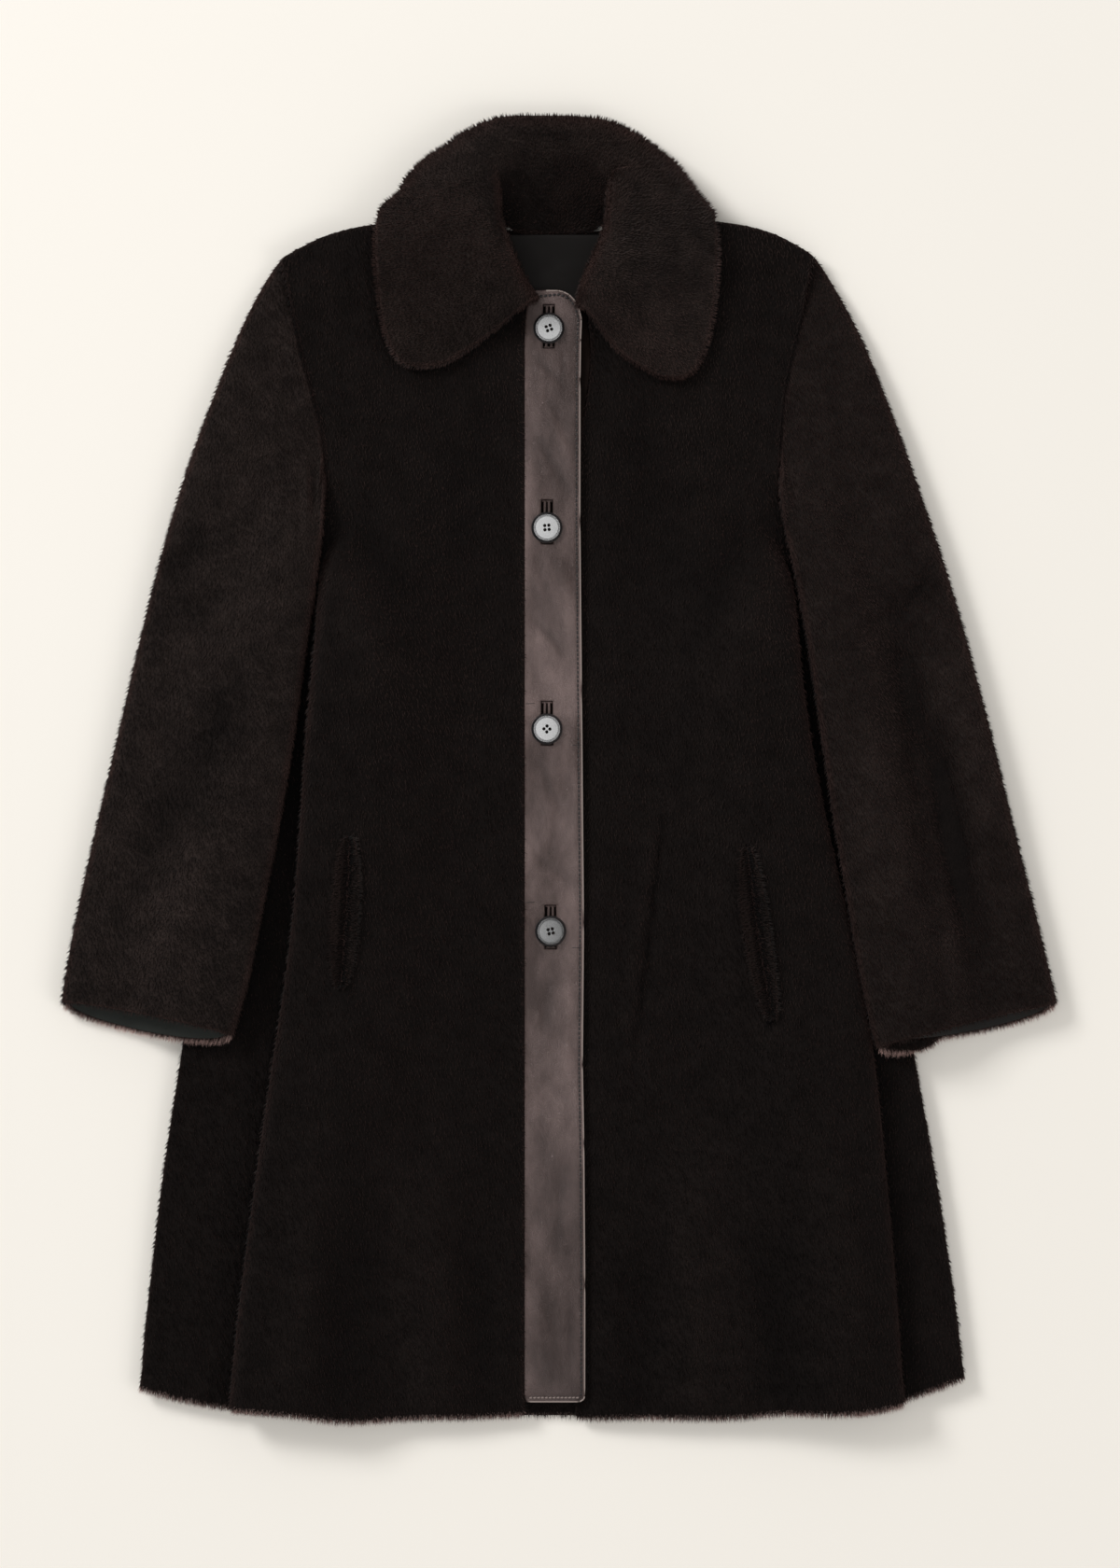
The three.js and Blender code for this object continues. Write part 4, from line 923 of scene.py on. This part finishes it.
def bar(points, faces, start, end, wide, high, sides=10, steps=12, power=2.6):
    # a rounded bar from start to end, thinner towards its ends
    start, end = np.array(start, dtype=float), np.array(end, dtype=float)
    along = (end - start) / np.linalg.norm(end - start)
    across = np.cross((0, 0, 1), along)
    upward = np.cross(along, across)
    first = len(points)
    for k in range(steps + 1):
        t = k / steps
        size = max(0.05, (1 - abs(2 * t - 1) ** (power * 3)) ** (1 / power))
        centre = start + (end - start) * (0.5 - 0.5 * math.cos(math.pi * t))
        for n in range(sides):
            angle = 2 * math.pi * n / sides
            offset = across * math.cos(angle) * wide / 2 + upward * math.sin(angle) * high / 2
            points.append(centre + offset * size)
    closeTube(faces, first, steps, sides)


print("buttonholes")
for plan in buttonPlan:
    points, faces = [], []
    top, low = plan["holeTop"] - 0.3, plan["holeTop"] - window["long"] + 0.3
    for side, lean in ((-1, 0.25), (1, -0.1)):
        x = plan["x"] + side * 1.75
        bar(points, faces, (x + lean, top - 0.2, 11.5), (x - lean, low + 0.2, 11.5), 2.1, 3.0, steps=22)
    for y in (top - 0.7, low + 0.7):
        bar(points, faces, (plan["x"] - 4, y, 11.0), (plan["x"] + 4, y, 11.0), 1.3, 2.2)
    lips = addObject(plan["hole"] + "_lips", meshFrom(plan["hole"] + "_lips", points, faces))
    lips.data.materials.append(leather["band"])
    finishPiece(lips, "leather", plan["hole"])

print("underlap")
underlap = clothShell("underlap_leather", "underlap", 3, 1.0)
# its leather painted near black for the shade it lies in
underlap.data.materials.append(leather["under"])
finishPiece(underlap, "leather", "underlap")


# Stitches of the band: down its right edge, across its lower end and its top, and the hairline seams


def plainMaterial(name, colour, rough):
    material, _, shader = newMaterial(name)
    setInputs(shader, {"Base Color": colour, "Roughness": rough})
    return material


threadMaterial = plainMaterial("band thread", (0.0045, 0.003, 0.003, 1), 0.6)


def alongPath(path, spacing):
    path = np.array(path, dtype=float)
    lengths = np.concatenate([[0], np.cumsum(np.hypot(*np.diff(path, axis=0).T))])
    marks = np.arange(spacing / 2, lengths[-1], spacing)
    places = np.stack([np.interp(marks, lengths, path[:, k]) for k in (0, 1)], axis=1)
    ahead = np.stack([np.interp(marks + 0.1, lengths, path[:, k]) for k in (0, 1)], axis=1)
    ways = ahead - places
    return places, ways / np.maximum(np.linalg.norm(ways, axis=1), 1e-6)[:, None]


rightSeam = [(r - 2.9, h) for h, r in zip(band["heights"][1:11], band["right"][1:11])]
rightSeam += [(12.2, 356.4), (8.3, 361.8), (1, 365.1), (-16, 363.4)]
seamPaths = [
    {"path": [(-23, -487.2), (16.6, -487.2)], "long": 2.5, "every": 3.0, "slant": 0.45},
    {"path": rightSeam, "long": 2.6, "every": 3.4, "slant": 0.2},
]
paleThread = plainMaterial("band thread at the hem", (0.2, 0.155, 0.14, 1), 0.6)

points, faces, hemFaces = [], [], 0
for seam in seamPaths:
    for place, way in zip(*alongPath(seam["path"], seam["every"])):
        turned = np.array([way[0] - seam["slant"] * way[1], way[1] + seam["slant"] * way[0]])
        z = band["top"] - 0.1 + float(bandRelief(place[:1], place[1:])[0]) + 0.08
        start, end = place - turned * seam["long"] / 2, place + turned * seam["long"] / 2
        bar(points, faces, (*start, z), (*end, z + 0.1), 1.9, 1.0, sides=6, steps=4)
    hemFaces = hemFaces or len(faces)
for x, y in band["seams"]:
    z = band["top"] - 0.1 + float(bandRelief(np.array([x]), np.array([y]))[0]) + 0.02
    bar(points, faces, (x - 3.6, y, z), (x + 3.6, y + 0.2, z), 0.5, 0.35, sides=6, steps=6)
# the cut edge of the leather, a little lighter, round the band's right side and lower end
rim = [(-24, -490.1), (16.4, -490.1), (19.3, -488.2)]
rim += [(r - 0.45, h) for h, r in zip(band["heights"][1:10], band["right"][1:10])]
rim += [(17.6, 346), (16.6, 351), (15.2, 355.5), (12.9, 360)]
rim += [(8.3, 364.8), (4, 367), (0, 368), (-10, 368.1)]
rimHeight = band["top"] - 0.42
rimPoints, rimFaces = [], []
for (x0, y0), (x1, y1) in zip(rim, rim[1:]):
    ends = (x0, y0, rimHeight), (x1, y1, rimHeight)
    bar(rimPoints, rimFaces, *ends, 1.15, 1.1, sides=8, steps=6, power=9)
rimPiece = addObject("band_cut_edge", meshFrom("band_cut_edge", rimPoints, rimFaces))
rimPiece.data.materials.append(plainMaterial("cut edge of the leather", (0.25, 0.2, 0.18, 1), 0.45))
finishPiece(rimPiece, "leather", "placket")

stitches = addObject("band_stitches", meshFrom("band_stitches", points, faces))
stitches.data.materials.append(threadMaterial)
stitches.data.materials.append(paleThread)
stitches.data.polygons.foreach_set("material_index", [int(k < hemFaces) for k in range(len(faces))])
finishPiece(stitches, "leather", "placket")
print("stitches:", len(stitches.data.polygons), "polygons")


# Buttons: polished near-black, a thin outer rim, a groove, a flat face and four thread holes

buttonMaterial, _, buttonShader = newMaterial("polished button")
setInputs(buttonShader, {
    "Base Color": (0.012, 0.012, 0.013, 1), "Roughness": 0.1, "Specular IOR Level": 0.5,
    "Coat Weight": 0.6, "Coat Roughness": 0.04,
})

buttonProfile = [
    # from the middle of the face outwards and round to the back: radius and height, in mm
    (0.0, 16.46), (1.1, 16.46), (4.5, 16.46), (8.0, 16.46), (8.7, 16.46), (8.85, 16.3), (8.95, 15.8),
    (9.1, 15.4), (9.4, 15.4), (9.6, 16.1), (9.75, 16.8), (9.8, 16.9), (10.08, 16.9), (10.15, 16.8),
    (10.5, 16.25), (11.1, 15.6), (11.6, 15.0), (12.0, 14.4), (11.85, 14.1), (11.4, 13.8), (10.6, 13.55),
    (6.0, 13.4), (0.0, 13.4),
]
threadHoles = {"radius": 1.3, "out": 2.3}


def buttonMesh(name):
    around = 96
    points, faces = [(0, 0, buttonProfile[0][1])], []
    for radius, height in buttonProfile[1:-1]:
        for k in range(around):
            angle = 2 * math.pi * k / around
            points.append((radius * math.cos(angle), radius * math.sin(angle), height))
    points.append((0, 0, buttonProfile[-1][1]))
    last = len(points) - 1
    rings = len(buttonProfile) - 2
    for k in range(around):
        after = (k + 1) % around
        faces.append([0, 1 + k, 1 + after])
        for r in range(rings - 1):
            a, b = 1 + r * around, 1 + (r + 1) * around
            faces.append([a + k, b + k, b + after, a + after])
        faces.append([last, 1 + (rings - 1) * around + after, 1 + (rings - 1) * around + k])
    return meshFrom(name, points, faces)


threadShade = plainMaterial("button thread", (0.006, 0.006, 0.006, 1), 0.8)

print("buttons")
for plan in buttonPlan:
    button = addObject(plan["node"] + "_polished", buttonMesh(plan["node"] + "_polished"))
    cutters, cutterFaces = [], []
    radius = threadHoles["radius"]
    for k in range(4):
        angle = math.radians(45 + 90 * k)
        x, y = threadHoles["out"] * math.cos(angle), threadHoles["out"] * math.sin(angle)
        first, sides = len(cutters), 20
        for z in (12, 19):
            ring = [2 * math.pi * n / sides for n in range(sides)]
            cutters += [(x + radius * math.cos(a), y + radius * math.sin(a), z) for a in ring]
        closeTube(cutterFaces, first, 1, sides)
    cutter = addObject("thread holes", meshFrom("thread holes", cutters, cutterFaces))
    cut = button.modifiers.new("holes", "BOOLEAN")
    cut.operation, cut.solver, cut.object = "DIFFERENCE", "EXACT", cutter
    button.data = ownMesh(button, plan["node"] + "_polished")
    bpy.data.objects.remove(cutter)
    print(plan["node"], "polygons with its thread holes:", len(button.data.polygons))
    turn = math.radians(plan["turn"])
    points = meshPoints(button.data)
    x, y = points[:, 0].copy(), points[:, 1].copy()
    # each lies a little askew on its thread
    tilt = plan["tilt"]
    points[:, 0] = x * math.cos(turn) - y * math.sin(turn) + plan["x"] * mm
    points[:, 1] = x * math.sin(turn) + y * math.cos(turn) + plan["y"] * mm
    points[:, 2] += tilt[0] * x + tilt[1] * y + 0.25 * mm
    setPoints(button.data, points)
    button.data.materials.clear()
    button.data.materials.append(buttonMaterial)
    shadeSmooth(button.data)
    button.data.set_sharp_from_angle(angle=math.radians(38))
    finishPiece(button, "button", plan["node"])

    threads, threadFaces = [], []
    for side in (-1.6, 1.6):
        for drift in (-0.35, 0.0, 0.35):
            ends = [(side + drift, -1.5), (side + drift, 1.5)]
            place = []
            for a, b in ends:
                x = a * math.cos(turn) - b * math.sin(turn) + plan["x"]
                place.append((x, a * math.sin(turn) + b * math.cos(turn) + plan["y"]))
            bar(threads, threadFaces, (*place[0], 15.2), (*place[1], 15.2), 0.4, 0.4, sides=6, steps=4)
            for x, y in place:
                bar(threads, threadFaces, (x, y, 9.7), (x + 0.001, y, 15.3), 0.4, 0.4, sides=6, steps=2)
    thread = addObject(plan["node"] + "_thread", meshFrom(plan["node"] + "_thread", threads, threadFaces))
    thread.data.materials.append(threadShade)
    finishPiece(thread, "button", plan["node"])


# The cloth area of every piece: half the area of its closed surface, in square metres


def closedArea(piece):
    return sum(face.area for face in piece.data.polygons) / 2


for title, piece in {**shells, **linings, "band": bandPiece, "underlap": underlap}.items():
    print("cloth area of the", title, round(closedArea(piece), 4))


# Floor, light and camera: the camera looks straight down, the coat lies on a pale floor

def plane(name, half, height):
    mesh = bpy.data.meshes.new(name)
    corners = [(-half, -half, height), (half, -half, height), (half, half, height), (-half, half, height)]
    mesh.from_pydata(corners, [], [(0, 1, 2, 3)])
    return addObject(name, mesh)


light = {
    "floorColour": (0.87, 0.835, 0.775, 1),
    "world": 0.49,
    "key": {"at": (-4.2, 3.4, 3.6), "size": 2.0, "power": 262, "aim": (0, 0, 0)},
    "fill": {"at": (4.0, -2.6, 4.2), "size": 3.0, "power": 60, "aim": (0, 0, 0)},
    "over": {"at": (-0.52, 0.0, 6.6), "size": 1.4, "power": 62, "aim": (-0.52, 0.0, 0)},
}


def areaLamp(name, plan):
    lamp = bpy.data.lights.new(name, "AREA")
    lamp.shape = "SQUARE"
    lamp.size = plan["size"]
    lamp.energy = plan["power"]
    holder = addObject(name, lamp)
    holder.location = plan["at"]
    holder.rotation_euler = (Vector(plan["aim"]) - Vector(plan["at"])).to_track_quat("-Z", "Y").to_euler()


floorMaterial, _, floorShader = newMaterial("pale floor")
setInputs(floorShader, {
    "Base Color": light["floorColour"], "Roughness": 0.95, "Specular IOR Level": 0.05,
})
floor = plane("floor", 6.0, -0.0002)
floor.data.materials.append(floorMaterial)
areaLamp("key light", light["key"])
areaLamp("fill light", light["fill"])
areaLamp("overhead light", light["over"])

world = bpy.data.worlds.new("studio")
world.use_nodes = True
world.node_tree.nodes["Background"].inputs["Color"].default_value = (1.0, 0.985, 0.965, 1)
world.node_tree.nodes["Background"].inputs["Strength"].default_value = light["world"]
bpy.context.scene.world = world
bpy.context.scene.view_settings.view_transform = "Standard"

cameraPlan = {"x": 1.1 * mm, "y": -13.0 * mm, "height": 6.0, "seen": 1209.6 * mm, "level": 20 * mm}
lens = bpy.data.cameras.new("camera")
lens.sensor_width = 36
lens.lens = 36 * (cameraPlan["height"] - cameraPlan["level"]) / cameraPlan["seen"]
camera = addObject("camera", lens)
camera.location = (cameraPlan["x"], cameraPlan["y"], cameraPlan["height"])
bpy.context.scene.camera = camera
